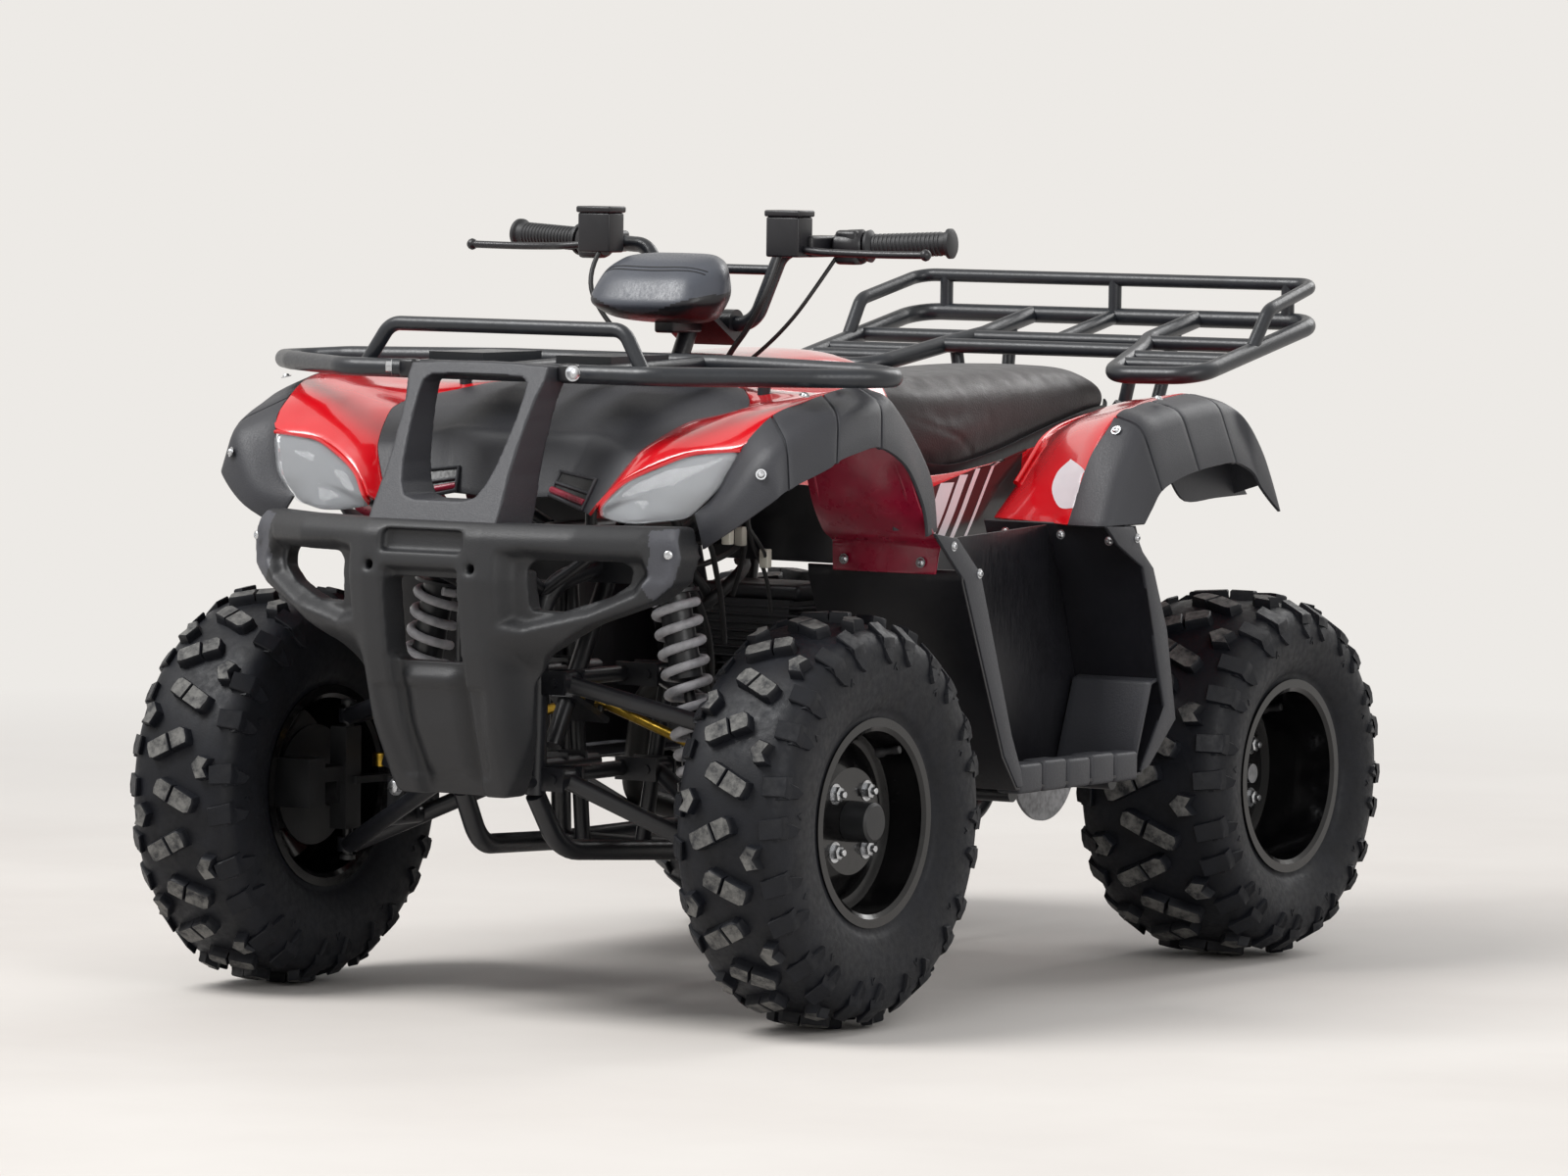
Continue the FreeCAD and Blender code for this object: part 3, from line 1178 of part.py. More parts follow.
def front_fender(strut):
    """Red shell beside the nose: brow over the lamp, top over the wheel and skirt behind it."""
    seam = [beside(point, GAP) for point in NOSE_SEAM]
    rows = [
        ([seam[0], (176, fore(-171), 692), (187, fore(-178), 700)], (0.3, 0.8, -0.3)),
        ([seam[1], (215, fore(-146), 746), (225, fore(-159), 741)], (0.3, 0.8, -0.4)),
        ([seam[2], (260, fore(-122), 779), (300, fore(-131), 775)], (0.2, 0.6, -0.8)),
        ([seam[3], (310, fore(-90), 806), (384, fore(-123), 787)], (0, 0.3, -0.9)),
        ([seam[4], (325, fore(-45), 826), beside(FRONT_SEAM[1], -2)], (0, 0.2, -1)),
        ([seam[5], (340, fore(15), 838), FRONT_SEAM[3]], (0, 0.1, -1)),
        ([seam[6], (330, fore(90), 838), FRONT_SEAM[5]], (0, 0, -1)),
        ([seam[7], (320, fore(160), 845), FRONT_SEAM[6]], (0, -0.1, -1)),
        ([seam[8], (300, fore(205), 830), (424, fore(172), 780)], (0, -0.3, -1)),
        ([(170, fore(232), 790), (300, fore(240), 765), FRONT_SEAM[8]], (0, -0.6, -0.6)),
    ]
    skirt = [
        ([(290, fore(98), 840), (420, fore(98), 848)], (0, 1, -0.2)),
        ([(290, fore(122), 775), (420, fore(122), 775)], (0, 1, -0.2)),
        ([(290, fore(153), 712), (468, fore(153), 712)], (0, 1, 0)),
        ([(290, fore(190), 655), (474, fore(190), 655)], (0, 1, 0.3)),
        ([(290, fore(250), 606), (478, fore(250), 606)], (0, 1, 0.3)),
        ([(290, fore(250), 584), (478, fore(250), 584)], (0, 1, 0)),
    ]
    shell = fused([band(rows, WALL), band(skirt, WALL)])
    for part in (lamp, moved(lamp, (0, 0, GAP)), moved(lamp, (0, GAP, 0))):
        shell = shell.cut(part)
    return largest(shell.cut(strut))


red_front = front_fender(rack_strut(GAP))
feature("front_fenders", both_sides(red_front))
grey_front = rested(rested(front_flare(), red_front, (1, 0, 0)), lamp, (0, -1, 0))
feature("front_flares", both_sides(largest(grey_front)))


def nose_cover():
    """Black bonnet between the front fenders: flat middle, crease and a slope with louvres each side."""
    seam = [beside(point, -GAP) for point in NOSE_SEAM]
    middle = ((fore(-125), 700), (fore(-95), 775), (fore(-62), 798), (fore(-20), 818), (fore(10), 829), (fore(60), 841),
              (fore(110), 848), (fore(150), 854), (fore(205), 860))
    crease = ((92, fore(-122), 705), (112, fore(-87), 780), (116, fore(-60), 797), (122, fore(-20), 814), (128, fore(7), 824),
              (134, fore(60), 837), (138, fore(110), 845), (140, fore(150), 850), (140, fore(205), 855))
    ways = ((0, 1, -0.3), (0, 0.7, -0.7), (0, 0.5, -0.9), (0, 0.3, -1), (0, 0.2, -1), (0, 0.1, -1), (0, 0, -1), (0, 0, -1), (0, 0, -1))
    rows = []
    for edge, fold, (y, z), way in zip(seam, crease, middle, ways):
        half = [edge, fold]
        rows.append(([(-a, b, c) for a, b, c in half] + [(0, y, z)] + half[::-1], way))
    shell = band(rows, WALL)
    for sign in (1, -1):
        for step in range(size_count("louvres")):
            low = 700 + 17 * step
            slot = [V(sign * x, fore(-200), z) for x, z in ((128 + 6 * step, low), (160 + 7 * step, low),
                                                            (163 + 7 * step, low + 9), (131 + 6 * step, low + 9))]
            shell = shell.cut(prism(slot, V(0, 140, 0)))
    return largest(shell.cut(both_sides(red_front)))


feature("nose_cover", nose_cover())


def tank_cover():
    """Red cover over the tank, its flanks running down to the side panels."""
    top = ((878, fore(260)), (887, fore(360)), (891, aft(-690)), (889, aft(-600)), (872, aft(-532)))
    flank = [TANK_SEAM[0], (158, fore(360), 750), TANK_SEAM[1], (173, aft(-610), 725), TANK_SEAM[2]]
    rows = []
    for (z, y), foot in zip(top, flank):
        half = [beside(foot, 0, GAP), (120, y, z - 40), (108, y, z - 14), (66, y, z - 3)]
        rows.append(([(-a, b, c) for a, b, c in half] + [(0, y, z)] + half[::-1], (0, 0, -1)))
    shell = band(rows, WALL)
    return shell.cut(rod(on_stem(300), on_stem(stem_top + 40), 60))


feature("tank_cover", tank_cover())


def seat():
    """Long cushion, narrow at the tank and wide behind."""
    half = size("seat_half_width")
    top = size("seat_top_z")
    rows = ((aft(-524), 0.62, top - 70, top + 18), (aft(-450), 0.9, top - 112, top + 10), (aft(-370), 1.02, top - 118, top + 10),
            (aft(-260), 1.06, top - 102, top + 13), (aft(-130), 1.08, top - 72, top + 18), (aft(-10), 1.08, top - 50, top + 16),
            (aft(50), 1.04, top - 46, top + 2), (aft(66), 0.96, top - 40, top - 18))
    sections = []
    for y, wide, low, high in rows:
        width = half * wide
        sections.append([V(-width * 0.86, y, low), V(-width, y, low + 12), V(-width * 0.96, y, high - 26), V(-width * 0.7, y, high - 3),
                         V(0, y, high), V(width * 0.7, y, high - 3), V(width * 0.96, y, high - 26), V(width, y, low + 12),
                         V(width * 0.86, y, low), V(0, y, low - 4)])
    return faceted(sections)


cushion = seat()
feature("seat", cushion)


def side_panel():
    """Panel under the tank and the seat, down to the footwell."""
    rows = (
        ([TANK_SEAM[0], (178, fore(260), 700), (192, fore(260), 640)], (-1, 0, 0)),
        ([TANK_SEAM[1], (185, aft(-690), 680), (200, aft(-690), 615)], (-1, 0, 0)),
        ([TANK_SEAM[2], (197, aft(-532), 660), (206, aft(-532), 603)], (-1, 0, 0)),
        ([(189, aft(-360), 722), (200, aft(-360), 665), (210, aft(-360), 595)], (-1, 0, 0)),
        ([(190, aft(-224), 745), (197, aft(-262), 700), (209, aft(-300), 640)], (-1, 0, 0)),
    )
    return rested(rested(band(rows, WALL), cushion, (0, 0, -1)), pieces["tank_cover"].Shape, (0, 0, -1))


feature("side_panels", both_sides(largest(side_panel())).cut(pieces["tank_cover"].Shape))


def rear_fender():
    """Red shell from the seat's edge out to the flare, closed forward down to the footwell."""
    rows = (
        ([(216, aft(-385), 648 + GAP), (300, aft(-430), 648 + GAP), beside(REAR_SEAM[0], 0, GAP)], (0, 1, 0)),
        ([(214, aft(-320), 692), (300, aft(-375), 722), REAR_SEAM[1]], (0, 0.9, -0.4)),
        ([(206, aft(-262), 728), (300, aft(-330), 775), REAR_SEAM[2]], (0, 0.6, -0.7)),
        ([(196, aft(-215), 756), (300, aft(-260), 798), REAR_SEAM[4]], (0, 0.3, -1)),
        ([(186, aft(-120), 775), (300, aft(-170), 812), REAR_SEAM[6]], (0, 0, -1)),
        ([(180, aft(-6), 786), (300, aft(-60), 812), REAR_SEAM[8]], (0, 0, -1)),
        ([(178, aft(60), 786), (300, aft(20), 800), (418, aft(-50), 730)], (0, 0, -1)),
        ([(178, aft(150), 770), (290, aft(130), 765), (360, aft(90), 705)], (0, -0.3, -1)),
    )
    return band(rows, WALL)


red_rear = fused([rear_fender(), block((0, aft(20), 778), (182, aft(150), 783))])
red_rear = rested(largest(red_rear), cushion, (0, 0, -1))
for leg in rack_legs(GAP):
    red_rear = red_rear.cut(leg)
red_rear = largest(red_rear)
feature("rear_fenders", both_sides(red_rear))
feature("rear_flares", both_sides(largest(rested(rear_flare(), red_rear, (1, 0, 0)))))


def footwell():
    """Trough for a foot, open outward and upward: two cross walls, a ribbed floor and turned-back edges."""
    x = size("board_x")
    inner = size("board_inner_x")
    top = size("board_top_z")
    floor = size("footrest_z")
    front = [(fore(250) + WALL + GAP, 606), (fore(250) + WALL + GAP, 590), (fore(366), 346), (fore(401), floor)]
    rear = [(aft(-440), floor), (aft(-395), 387), (aft(-465), 585), (aft(-486), top)]
    ways = [(0, 1, 0), (0, 1, 0.1), (0, 1, 0.5), (0, 0.4, 1), (0, -0.4, 1), (0, -1, 0.3), (0, -1, -0.2), (0, -1, 0)]
    rows = [([(inner, y, z), (x, y, z)], way) for (y, z), way in zip(front + rear, ways)]
    parts = [band(rows, WALL)]
    for side_walls in (front, rear):
        turned = [(y + size("board_flange"), z) for y, z in reversed(side_walls)]
        parts.append(prism([V(x - WALL, y, z) for y, z in side_walls + turned], V(WALL, 0, 0)))
    for number in range(size_count("floor_ribs")):
        y = fore(425) + number * (aft(-470) - fore(425)) / (size("floor_ribs") - 1)
        parts.append(block((inner + 20, y - 5, floor + WALL - 1), (x - 12, y + 5, floor + WALL + 6)))
    parts.append(block((x - WALL, fore(410), floor), (x, aft(-440), floor + 24)))
    return fused(parts)


feature("footwells", both_sides(footwell()))


def tail_light():
    y = aft(225) + FRAME + GAP
    z = size("seat_rail_z") - 3
    return fused([block((-70, y, z - 20), (70, y + 22, z + 20)), block((-58, y + 22, z - 14), (58, y + 30, z + 14))])


feature("tail_light", tail_light())


# Main frame
def arm_brackets():
    """Plates on both sides of each arm bush, with the pivot bolts through them."""
    parts = []
    pivots = ((size("upper_pivot_x"), size("upper_pivot_z")), (size("lower_pivot_x"), size("lower_pivot_z")))
    half = size("pivot_length") / 2 + GAP
    for pivot_x, pivot_z in pivots:
        for reach in (-size("arm_spread_front"), size("arm_spread_rear")):
            y = front_y + reach
            for sign in (1, -1):
                x_in, x_out = sorted((sign * (NOSE_HALF - 20), sign * (pivot_x + 16)))
                for edge in (-1, 1):
                    low_y, high_y = sorted((y + edge * half, y + edge * (half + 5)))
                    parts.append(block((x_in, low_y, pivot_z - 16), (x_out, high_y, pivot_z + 16)))
                parts.append(rod((sign * pivot_x, y - half - 8, pivot_z), (sign * pivot_x, y + half + 8, pivot_z), BOLT_RADIUS))
    return parts


def shock_ears():
    """Plates and bolts for the front dampers' upper eyes."""
    ears = EYE_HALF + GAP
    parts = []
    for edge in (-1, 1):
        low_y, high_y = sorted((shock_top.y + edge * ears, shock_top.y + edge * (ears + 5)))
        parts.append(block((-shock_top.x - 16, low_y, shock_top.z - 16), (shock_top.x + 16, high_y, shock_top.z + 22)))
    bolt = rod((shock_top.x, shock_top.y - ears - 9, shock_top.z), (shock_top.x, shock_top.y + ears + 9, shock_top.z), BOLT_RADIUS)
    return parts + [bolt, mirrored(bolt)]


def rear_mounts():
    """Swingarm pivot, damper ears and engine pads."""
    pivot_y = aft(-size("swingarm_length"))
    pivot_z = size("swingarm_pivot_z")
    parts = [rod((-79, pivot_y, pivot_z), (91, pivot_y, pivot_z), PIVOT_BOLT)]
    for low_x, high_x in ((-79, -72 - GAP), (84 + GAP, 91)):
        parts.append(block((low_x, pivot_y - 26, floor_z), (high_x, pivot_y + 14, pivot_z + 20)))
    bar_y = rear_shock_top.y + 35
    bar_z = rear_shock_top.z + 14
    parts.append(rod((-high_half - 20, bar_y, bar_z), (high_half + 20, bar_y, bar_z), FRAME))
    for edge in (-1, 1):
        x = edge * (EYE_HALF + GAP + 2.5)
        parts.append(block((x - 2.5, rear_shock_top.y - 14, rear_shock_top.z - 14), (x + 2.5, bar_y, rear_shock_top.z + 20)))
    parts.append(rod(rear_shock_top - V(EYE_HALF + 8, 0, 0), rear_shock_top + V(EYE_HALF + 8, 0, 0), BOLT_RADIUS))
    for y in (aft(-610), aft(-470)):
        for x in (-45, 45):
            parts.append(block((x - 15, y - 12, floor_z), (x + 15, y + 12, floor_z + 24 - GAP)))
    return parts


def guard_stays():
    """Plates that the bumper bolts to, with their stays from the nose of the frame."""
    parts = []
    for low, high, x, start in ((size("bumper_top_z") - 50, size("bumper_top_z") - 30, 84, top_z - 60),
                                (size("bib_bottom_z") + 8, size("bib_bottom_z") + 34, 62, 316)):
        face = [(bumper_back(low) + GAP, low), (bumper_back(high) + GAP, high), (bumper_back(high) + 6, high), (bumper_back(low) + 6, low)]
        middle = (low + high) / 2
        for sign in (1, -1):
            parts.append(prism([V(sign * x - 16, y, z) for y, z in face], V(32, 0, 0)))
            parts.append(rod((sign * NOSE_HALF, nose_y - 14, start), (sign * x, bumper_back(middle) + 4, middle), 9))
    return parts


def panel_stays():
    """Left stays under the panels, the lamp and the footwell; the panels cut them to length."""
    arm_z = size("footrest_z") - 12 - GAP
    stays = [
        ((78, fore(-28), top_z - 30), (78, fore(-28), 830), 8),
        ((NOSE_HALF, nose_y - 10, top_z - 66), (255, fore(-108), 704), 8),
        ((high_half, fore(330), top_z), (190, fore(330), 690), 8),
        ((high_half, aft(-500), top_z), (212, aft(-500), 668), 8),
        ((high_half, fore(390), top_z), (high_half + 26, fore(390), 850), 8),
        ((high_half + 12, aft(-285), top_z + 16), (high_half + 12, aft(-285), 800), 12),
        ((high_half + 22, aft(-30), top_z + 60), (high_half + 22, aft(-30), 830), 12),
        ((high_half + 22, aft(0), top_z + 66), (196, aft(0), 800), 9),
        ((low_half, fore(440), floor_z), (300, fore(440), arm_z), 12),
        ((296, fore(440), arm_z), (size("board_x") - 30, fore(440), arm_z), 12),
        ((low_half, aft(-470), floor_z), (300, aft(-470), arm_z), 12),
        ((296, aft(-470), arm_z), (size("board_x") - 30, aft(-470), arm_z), 12),
    ]
    return [rod(*stay) for stay in stays]


def main_frame():
    rails = [
        tube([(NOSE_HALF, nose_y - 20, 300), (NOSE_HALF + 6, nose_y + 30, floor_z + 16), (low_half, fore(190), floor_z),
              (low_half, aft(-250), floor_z), (low_half, aft(-190), 330), (high_half + 16, aft(-180), top_z + 18)], FRAME, 70),
        tube(upper_rail(), FRAME, 70),
        rod((low_half - 4, fore(190), floor_z), (high_half, fore(150), top_z), FRAME),
        rod((low_half, fore(610), floor_z), (high_half, fore(650), top_z), FRAME),
    ]
    for x, start, end in ((NOSE_HALF - 10, size("upper_pivot_z"), 178), (NOSE_HALF - 10, size("lower_pivot_z"), 178)):
        rails.append(rod((x, nose_y - 34, start), (x, fore(end), start), 11))
    rails.append(rod((NOSE_HALF - 10, fore(148), floor_z + 8), (high_half, fore(178), top_z), 11))
    rails += panel_stays()
    parts = rails + [mirrored(item) for item in rails]
    crossings = ((nose_y - 16, 322, NOSE_HALF), (nose_y - 14, top_z - 66, NOSE_HALF), (fore(190), floor_z, low_half),
                 (aft(-610), floor_z, low_half), (aft(-470), floor_z, low_half), (aft(-310), floor_z, low_half),
                 (aft(-185), top_z + 18, high_half + 10), (aft(225), size("seat_rail_z") - 3, high_half + 20))
    for y, z, half in crossings:
        parts.append(rod((-half, y, z), (half, y, z), FRAME))
    hanger_z = size("seat_rail_z") - 16
    parts.append(rod((-high_half - 24, aft(132), hanger_z), (-205, aft(132), 640), 8))
    shape = fused(parts + arm_brackets() + shock_ears() + rear_mounts() + guard_stays())
    shape = shape.cut(rod(on_stem(-60), on_stem(stem_top), size("stem_radius") + 12))
    bearings = []
    for along in (-34, 250):
        centre = on_stem(along)
        bearings.append(rod(centre - stem_axis * 14, centre + stem_axis * 14, 24))
        bearings.append(block((-NOSE_HALF - 40, centre.y - 14, centre.z - 10), (NOSE_HALF + 40, centre.y + 14, centre.z + 10)))
    shape = fused([shape] + bearings)
    shape = shape.cut(rod(on_stem(-70), on_stem(stem_top), size("stem_radius") + size("running_gap")))
    for label, away in (("nose_cover", (0, 0, -1)), ("headlights", (0, 1, 0)), ("side_panels", (0, 0, -1)),
                        ("tank_cover", (0, 0, -1)), ("seat", (0, 0, -1)), ("rear_fenders", (0, 0, -1)),
                        ("exhaust", (0, 0, 1)), ("engine", (0, 0, -1)), ("bumper", (0, 1, 0))):
        shape = largest(rested(shape, pieces[label].Shape, away))
    return shape


feature("main_frame", main_frame())


# Drive
def chain():
    """One fixed loop round both sprockets: on the small one, clear of the large."""
    near = V(size("sprocket_x"), aft(-size("drive_sprocket_reach")), size("drive_sprocket_z"))
    far = V(size("sprocket_x"), rear_y, rear_z)
    r_near = size("drive_sprocket_radius") + size("seat_gap")
    r_far = size("sprocket_radius") + size("chain_clearance")
    span = far - near
    angle = math.asin((r_far - r_near) / span.Length)
    along = V(0, span.y, span.z).normalize()
    up = V(0, -along.z, along.y)
    width = size("chain_width")

    def around(centre, radius, start, end, links):
        """Corners of straight links laid round a sprocket."""
        step = (end - start) / links
        turns = [start + (number + 0.5) * step for number in range(links)]
        reach = radius / math.cos(step / 2)
        return [centre + (up * math.cos(turn) + along * math.sin(turn)) * reach for turn in turns]

    def loop(extra):
        corners = around(far, r_far + extra, -angle, math.pi + angle, 14)
        corners += around(near, r_near + extra, math.pi + angle, 2 * math.pi - angle, 8)
        return prism(corners, V(width, 0, 0))

    return moved(loop(9).cut(loop(0)), (-width / 2, 0, 0))


feature("chain", chain())


def drive_sprocket():
    """Output shaft and small sprocket on the right of the engine."""
    x = size("sprocket_x")
    centre = V(0, aft(-size("drive_sprocket_reach")), size("drive_sprocket_z"))
    face = -size("engine_width") / 2 - size("seat_gap")
    return fused([rod(centre + V(x - 8, 0, 0), centre + V(face, 0, 0), 13),
                  rod(centre + V(x - 3, 0, 0), centre + V(x + 3, 0, 0), size("drive_sprocket_radius"))])


feature("drive_sprocket", drive_sprocket())


# Checks and files
doc.recompute()
for item in doc.Objects:
    if "Invalid" in item.State or "Error" in item.State:
        raise RuntimeError(f"{item.Label} is in state {item.State}")
for label, item in pieces.items():
    if item.Shape.isNull() or not item.Shape.isValid() or not item.Shape.Solids:
        raise RuntimeError(f"{label} has no sound shape")
    print(label, len(item.Shape.Solids), round(item.Shape.Volume / 1000), "cm3")

os.makedirs("parts", exist_ok=True)
for label, item in pieces.items():
    item.Shape.exportStep(f"parts/{label}.step")
whole = FreeCAD.BoundBox()
for item in pieces.values():
    whole.add(item.Shape.BoundBox)
print(whole)
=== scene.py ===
"""Finishes, soft parts and moulded shells of a utility quad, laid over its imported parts."""
import math

import bmesh
import bpy
from mathutils import Matrix, Vector
from mathutils.bvhtree import BVHTree


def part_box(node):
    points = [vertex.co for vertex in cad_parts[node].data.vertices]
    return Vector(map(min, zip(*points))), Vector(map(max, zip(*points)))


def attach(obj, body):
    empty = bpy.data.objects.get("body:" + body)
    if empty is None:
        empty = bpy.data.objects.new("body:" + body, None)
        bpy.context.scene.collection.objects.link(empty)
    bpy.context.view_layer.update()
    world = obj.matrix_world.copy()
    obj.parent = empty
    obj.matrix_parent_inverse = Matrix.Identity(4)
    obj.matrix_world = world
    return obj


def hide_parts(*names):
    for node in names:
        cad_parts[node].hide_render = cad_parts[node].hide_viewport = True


bl_info = {
    "name": "Utility Quad Looks",
    "version": (1, 0, 0),
    "blender": (4, 5, 0),
    "location": "View3D > Sidebar > Quad",
    "description": "Moulded panels, knobby tyres, seat and finishes of a utility quad",
    "category": "Object",
}

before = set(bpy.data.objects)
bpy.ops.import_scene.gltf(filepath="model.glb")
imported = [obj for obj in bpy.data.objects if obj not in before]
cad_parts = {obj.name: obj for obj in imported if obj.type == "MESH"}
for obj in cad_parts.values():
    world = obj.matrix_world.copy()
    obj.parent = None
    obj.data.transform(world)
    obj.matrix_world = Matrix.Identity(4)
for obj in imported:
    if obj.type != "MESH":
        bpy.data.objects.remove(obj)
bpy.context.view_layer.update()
MM = 0.001
SIDES = (("left", 1), ("right", -1))
FRONT_AXLE = -590
REAR_AXLE = 590
SMOOTH = 180  # an angle past every edge, so that a mesh shades smooth all over
SURROUND = "#EDEAE6"


def fore(distance):
    """Millimetres behind the front axle."""
    return FRONT_AXLE + distance


def aft(distance):
    """Millimetres behind the rear axle."""
    return REAR_AXLE + distance


# Sizes and colours that a user would change
class QuadSizes(bpy.types.PropertyGroup):
    """Sizes of the moulded parts"""
    wall: bpy.props.FloatProperty(name="Panel wall", description="Moulded panel thickness, mm", default=4.5)
    rounding: bpy.props.FloatProperty(name="Crest radius", description="Round of the flare's crest, mm",
                                      default=20)
    groove: bpy.props.FloatProperty(name="Groove depth", description="Lines across the flares, mm", default=3.2)
    lug_bevel: bpy.props.FloatProperty(name="Lug bevel", description="Worn edge of a lug, mm", default=1.8)
    pitches: bpy.props.IntProperty(name="Tread pitches", description="Repeats round a tyre", default=12)
    bolt: bpy.props.FloatProperty(name="Panel bolt", description="Head radius of a panel bolt, mm", default=5.4)
    puff: bpy.props.FloatProperty(name="Seat puff", description="Furthest that the seat's skin swells, m",
                                  default=0.006, unit="LENGTH")


class QuadColours(bpy.types.PropertyGroup):
    """Colours of the finishes"""
    red: bpy.props.StringProperty(name="Red panels", description="sRGB hex", default="#D20C1A")
    # Painted shade: the skirts' colour is the gloss red darkened for the shade they sit in
    smoked: bpy.props.StringProperty(name="Red skirts", description="sRGB hex", default="#8E1330")
    grey: bpy.props.StringProperty(name="Textured plastic", description="sRGB hex", default="#2F3035")
    black: bpy.props.StringProperty(name="Plain black plastic", description="sRGB hex", default="#131317")
    steel: bpy.props.StringProperty(name="Painted steel", description="sRGB hex", default="#1D2025")
    rubber: bpy.props.StringProperty(name="Tyre rubber", description="sRGB hex", default="#101218")
    dust: bpy.props.StringProperty(name="Dusty lug tops", description="sRGB hex", default="#6A6966")
    vinyl: bpy.props.StringProperty(name="Seat vinyl", description="sRGB hex", default="#262425")
    spring: bpy.props.StringProperty(name="Spring paint", description="sRGB hex", default="#B4B3B6")


# Materials
def linear(code):
    """An sRGB hex colour in linear numbers, with full alpha."""
    parts = [int(code[place:place + 2], 16) / 255 for place in (1, 3, 5)]
    parts = [part / 12.92 if part <= 0.04045 else ((part + 0.055) / 1.055) ** 2.4 for part in parts]
    return (*parts, 1.0)


def add(tree, kind, settings, sockets):
    """One node with its settings and its inputs, each a value or another node's output."""
    node = tree.nodes.new(kind)
    for name, value in settings.items():
        setattr(node, name, value)
    for name, value in sockets.items():
        if isinstance(value, bpy.types.NodeSocket):
            tree.links.new(value, node.inputs[name])
        else:
            node.inputs[name].default_value = value
    return node


def finish_tree(name):
    """A new material, its empty tree and its object coordinates."""
    material = bpy.data.materials.new(name)
    material.use_nodes = True
    tree = material.node_tree
    tree.nodes.clear()
    place = add(tree, "ShaderNodeTexCoord", {}, {}).outputs["Object"]
    return material, tree, place


def shaded(material, sockets):
    """The material, its surface shader given the sockets."""
    tree = material.node_tree
    shader = add(tree, "ShaderNodeBsdfPrincipled", {}, sockets)
    add(tree, "ShaderNodeOutputMaterial", {}, {"Surface": shader.outputs[0]})
    return material


def patches(tree, place, size, detail, stretch, ends=(0.0, 1.0), rough=0.55):
    """Soft patches about size millimetres across: cloudy noise, its stretch mapped to the two ends."""
    cloud = add(tree, "ShaderNodeTexNoise", {},
                {"Vector": place, "Scale": 1 / (size * MM), "Detail": detail, "Roughness": rough})
    return add(tree, "ShaderNodeMapRange", {},
               {"Value": cloud.outputs["Fac"], "From Min": stretch[0], "From Max": stretch[1],
                "To Min": ends[0], "To Max": ends[1]}).outputs[0]


# The colour sockets of a mix node, whose names its other sockets have too
MIX_FIRST, MIX_SECOND, MIX_RESULT = 6, 7, 2


def mottled(tree, place, size, detail, stretch, first, second, rough=0.55):
    """Colour that goes from first to second in soft patches about size millimetres across."""
    share = patches(tree, place, size, detail, stretch, rough=rough)
    return add(tree, "ShaderNodeMix", {"data_type": "RGBA"},
               {"Factor": share, MIX_FIRST: first, MIX_SECOND: second}).outputs[MIX_RESULT]


# The real grain, orange peel and grit are well under a millimetre across. They are drawn 2 to 5 mm across, so that
# they show in the render
def grained(tree, place, size, detail, depth, rough=0.55):
    """A relief of grains about size millimetres across and depth millimetres deep."""
    cloud = add(tree, "ShaderNodeTexNoise", {},
                {"Vector": place, "Scale": 1 / (size * MM), "Detail": detail, "Roughness": rough})
    return add(tree, "ShaderNodeBump", {}, {"Height": cloud.outputs["Fac"], "Distance": depth * MM}).outputs[0]


def shade_of(code, share):
    """The colour made lighter or darker by a share."""
    return tuple(min(1, part * share) for part in linear(code)[:3]) + (1.0,)


def gloss_red(code):
    """Injection-moulded ABS in a high gloss: an even red with a faint orange peel and soft reflections."""
    material, tree, place = finish_tree("injection_moulded_gloss_abs")
    base = mottled(tree, place, 90, 3, (0.3, 0.7), shade_of(code, 0.94), shade_of(code, 1.05))
    rough = patches(tree, place, 30, 3, (0.3, 0.75), (0.16, 0.26))
    return shaded(material, {"Base Color": base, "Roughness": rough, "IOR": 1.5, "Coat Weight": 0.9,
                             "Coat Roughness": 0.06, "Normal": grained(tree, place, 5, 1, 0.05)})


def smoked_red(code):
    """The same ABS as the gloss red, with painted shade: a darker red that stands for the shade it sits in, darker
    still in soft patches, with a satin look.
    """
    material, tree, place = finish_tree("red_abs_with_painted_shade")
    base = mottled(tree, place, 60, 5, (0.45, 0.75), linear(code), shade_of(code, 0.62))
    rough = patches(tree, place, 22, 3, (0.3, 0.75), (0.22, 0.42))
    return shaded(material, {"Base Color": base, "Roughness": rough, "IOR": 1.5, "Coat Weight": 0.35,
                             "Coat Roughness": 0.15})


def textured_plastic(code, name="grained_polypropylene", grain=2.2):
    """Moulded polypropylene with a spark-eroded grain: no gloss, a fine pebble and paler scuffs."""
    material, tree, place = finish_tree(name)
    scuffs = mottled(tree, place, 70, 4, (0.35, 0.7), shade_of(code, 0.86), shade_of(code, 1.12))
    speck = mottled(tree, place, grain, 4, (0.35, 0.7), shade_of(code, 0.82), scuffs, 0.65)
    rough = patches(tree, place, grain, 4, (0.3, 0.7), (0.42, 0.6), 0.65)
    return shaded(material, {"Base Color": speck, "Roughness": rough, "IOR": 1.49,
                             "Normal": grained(tree, place, grain, 4, 0.35, 0.65)})


def plain_plastic(code, name="smooth_black_polypropylene"):
    """Smooth moulded polypropylene: deep black, a low sheen and long faint scratches."""
    material, tree, place = finish_tree(name)
    along = add(tree, "ShaderNodeMapping", {}, {"Vector": place, "Scale": (1, 1, 0.12)}).outputs[0]
    base = mottled(tree, place, 120, 3, (0.35, 0.7), linear(code), shade_of(code, 1.5))
    rough = patches(tree, along, 3.5, 5, (0.35, 0.7), (0.28, 0.5), 0.7)
    return shaded(material, {"Base Color": base, "Roughness": rough, "IOR": 1.49,
                             "Normal": grained(tree, along, 3.5, 5, 0.06, 0.7)})


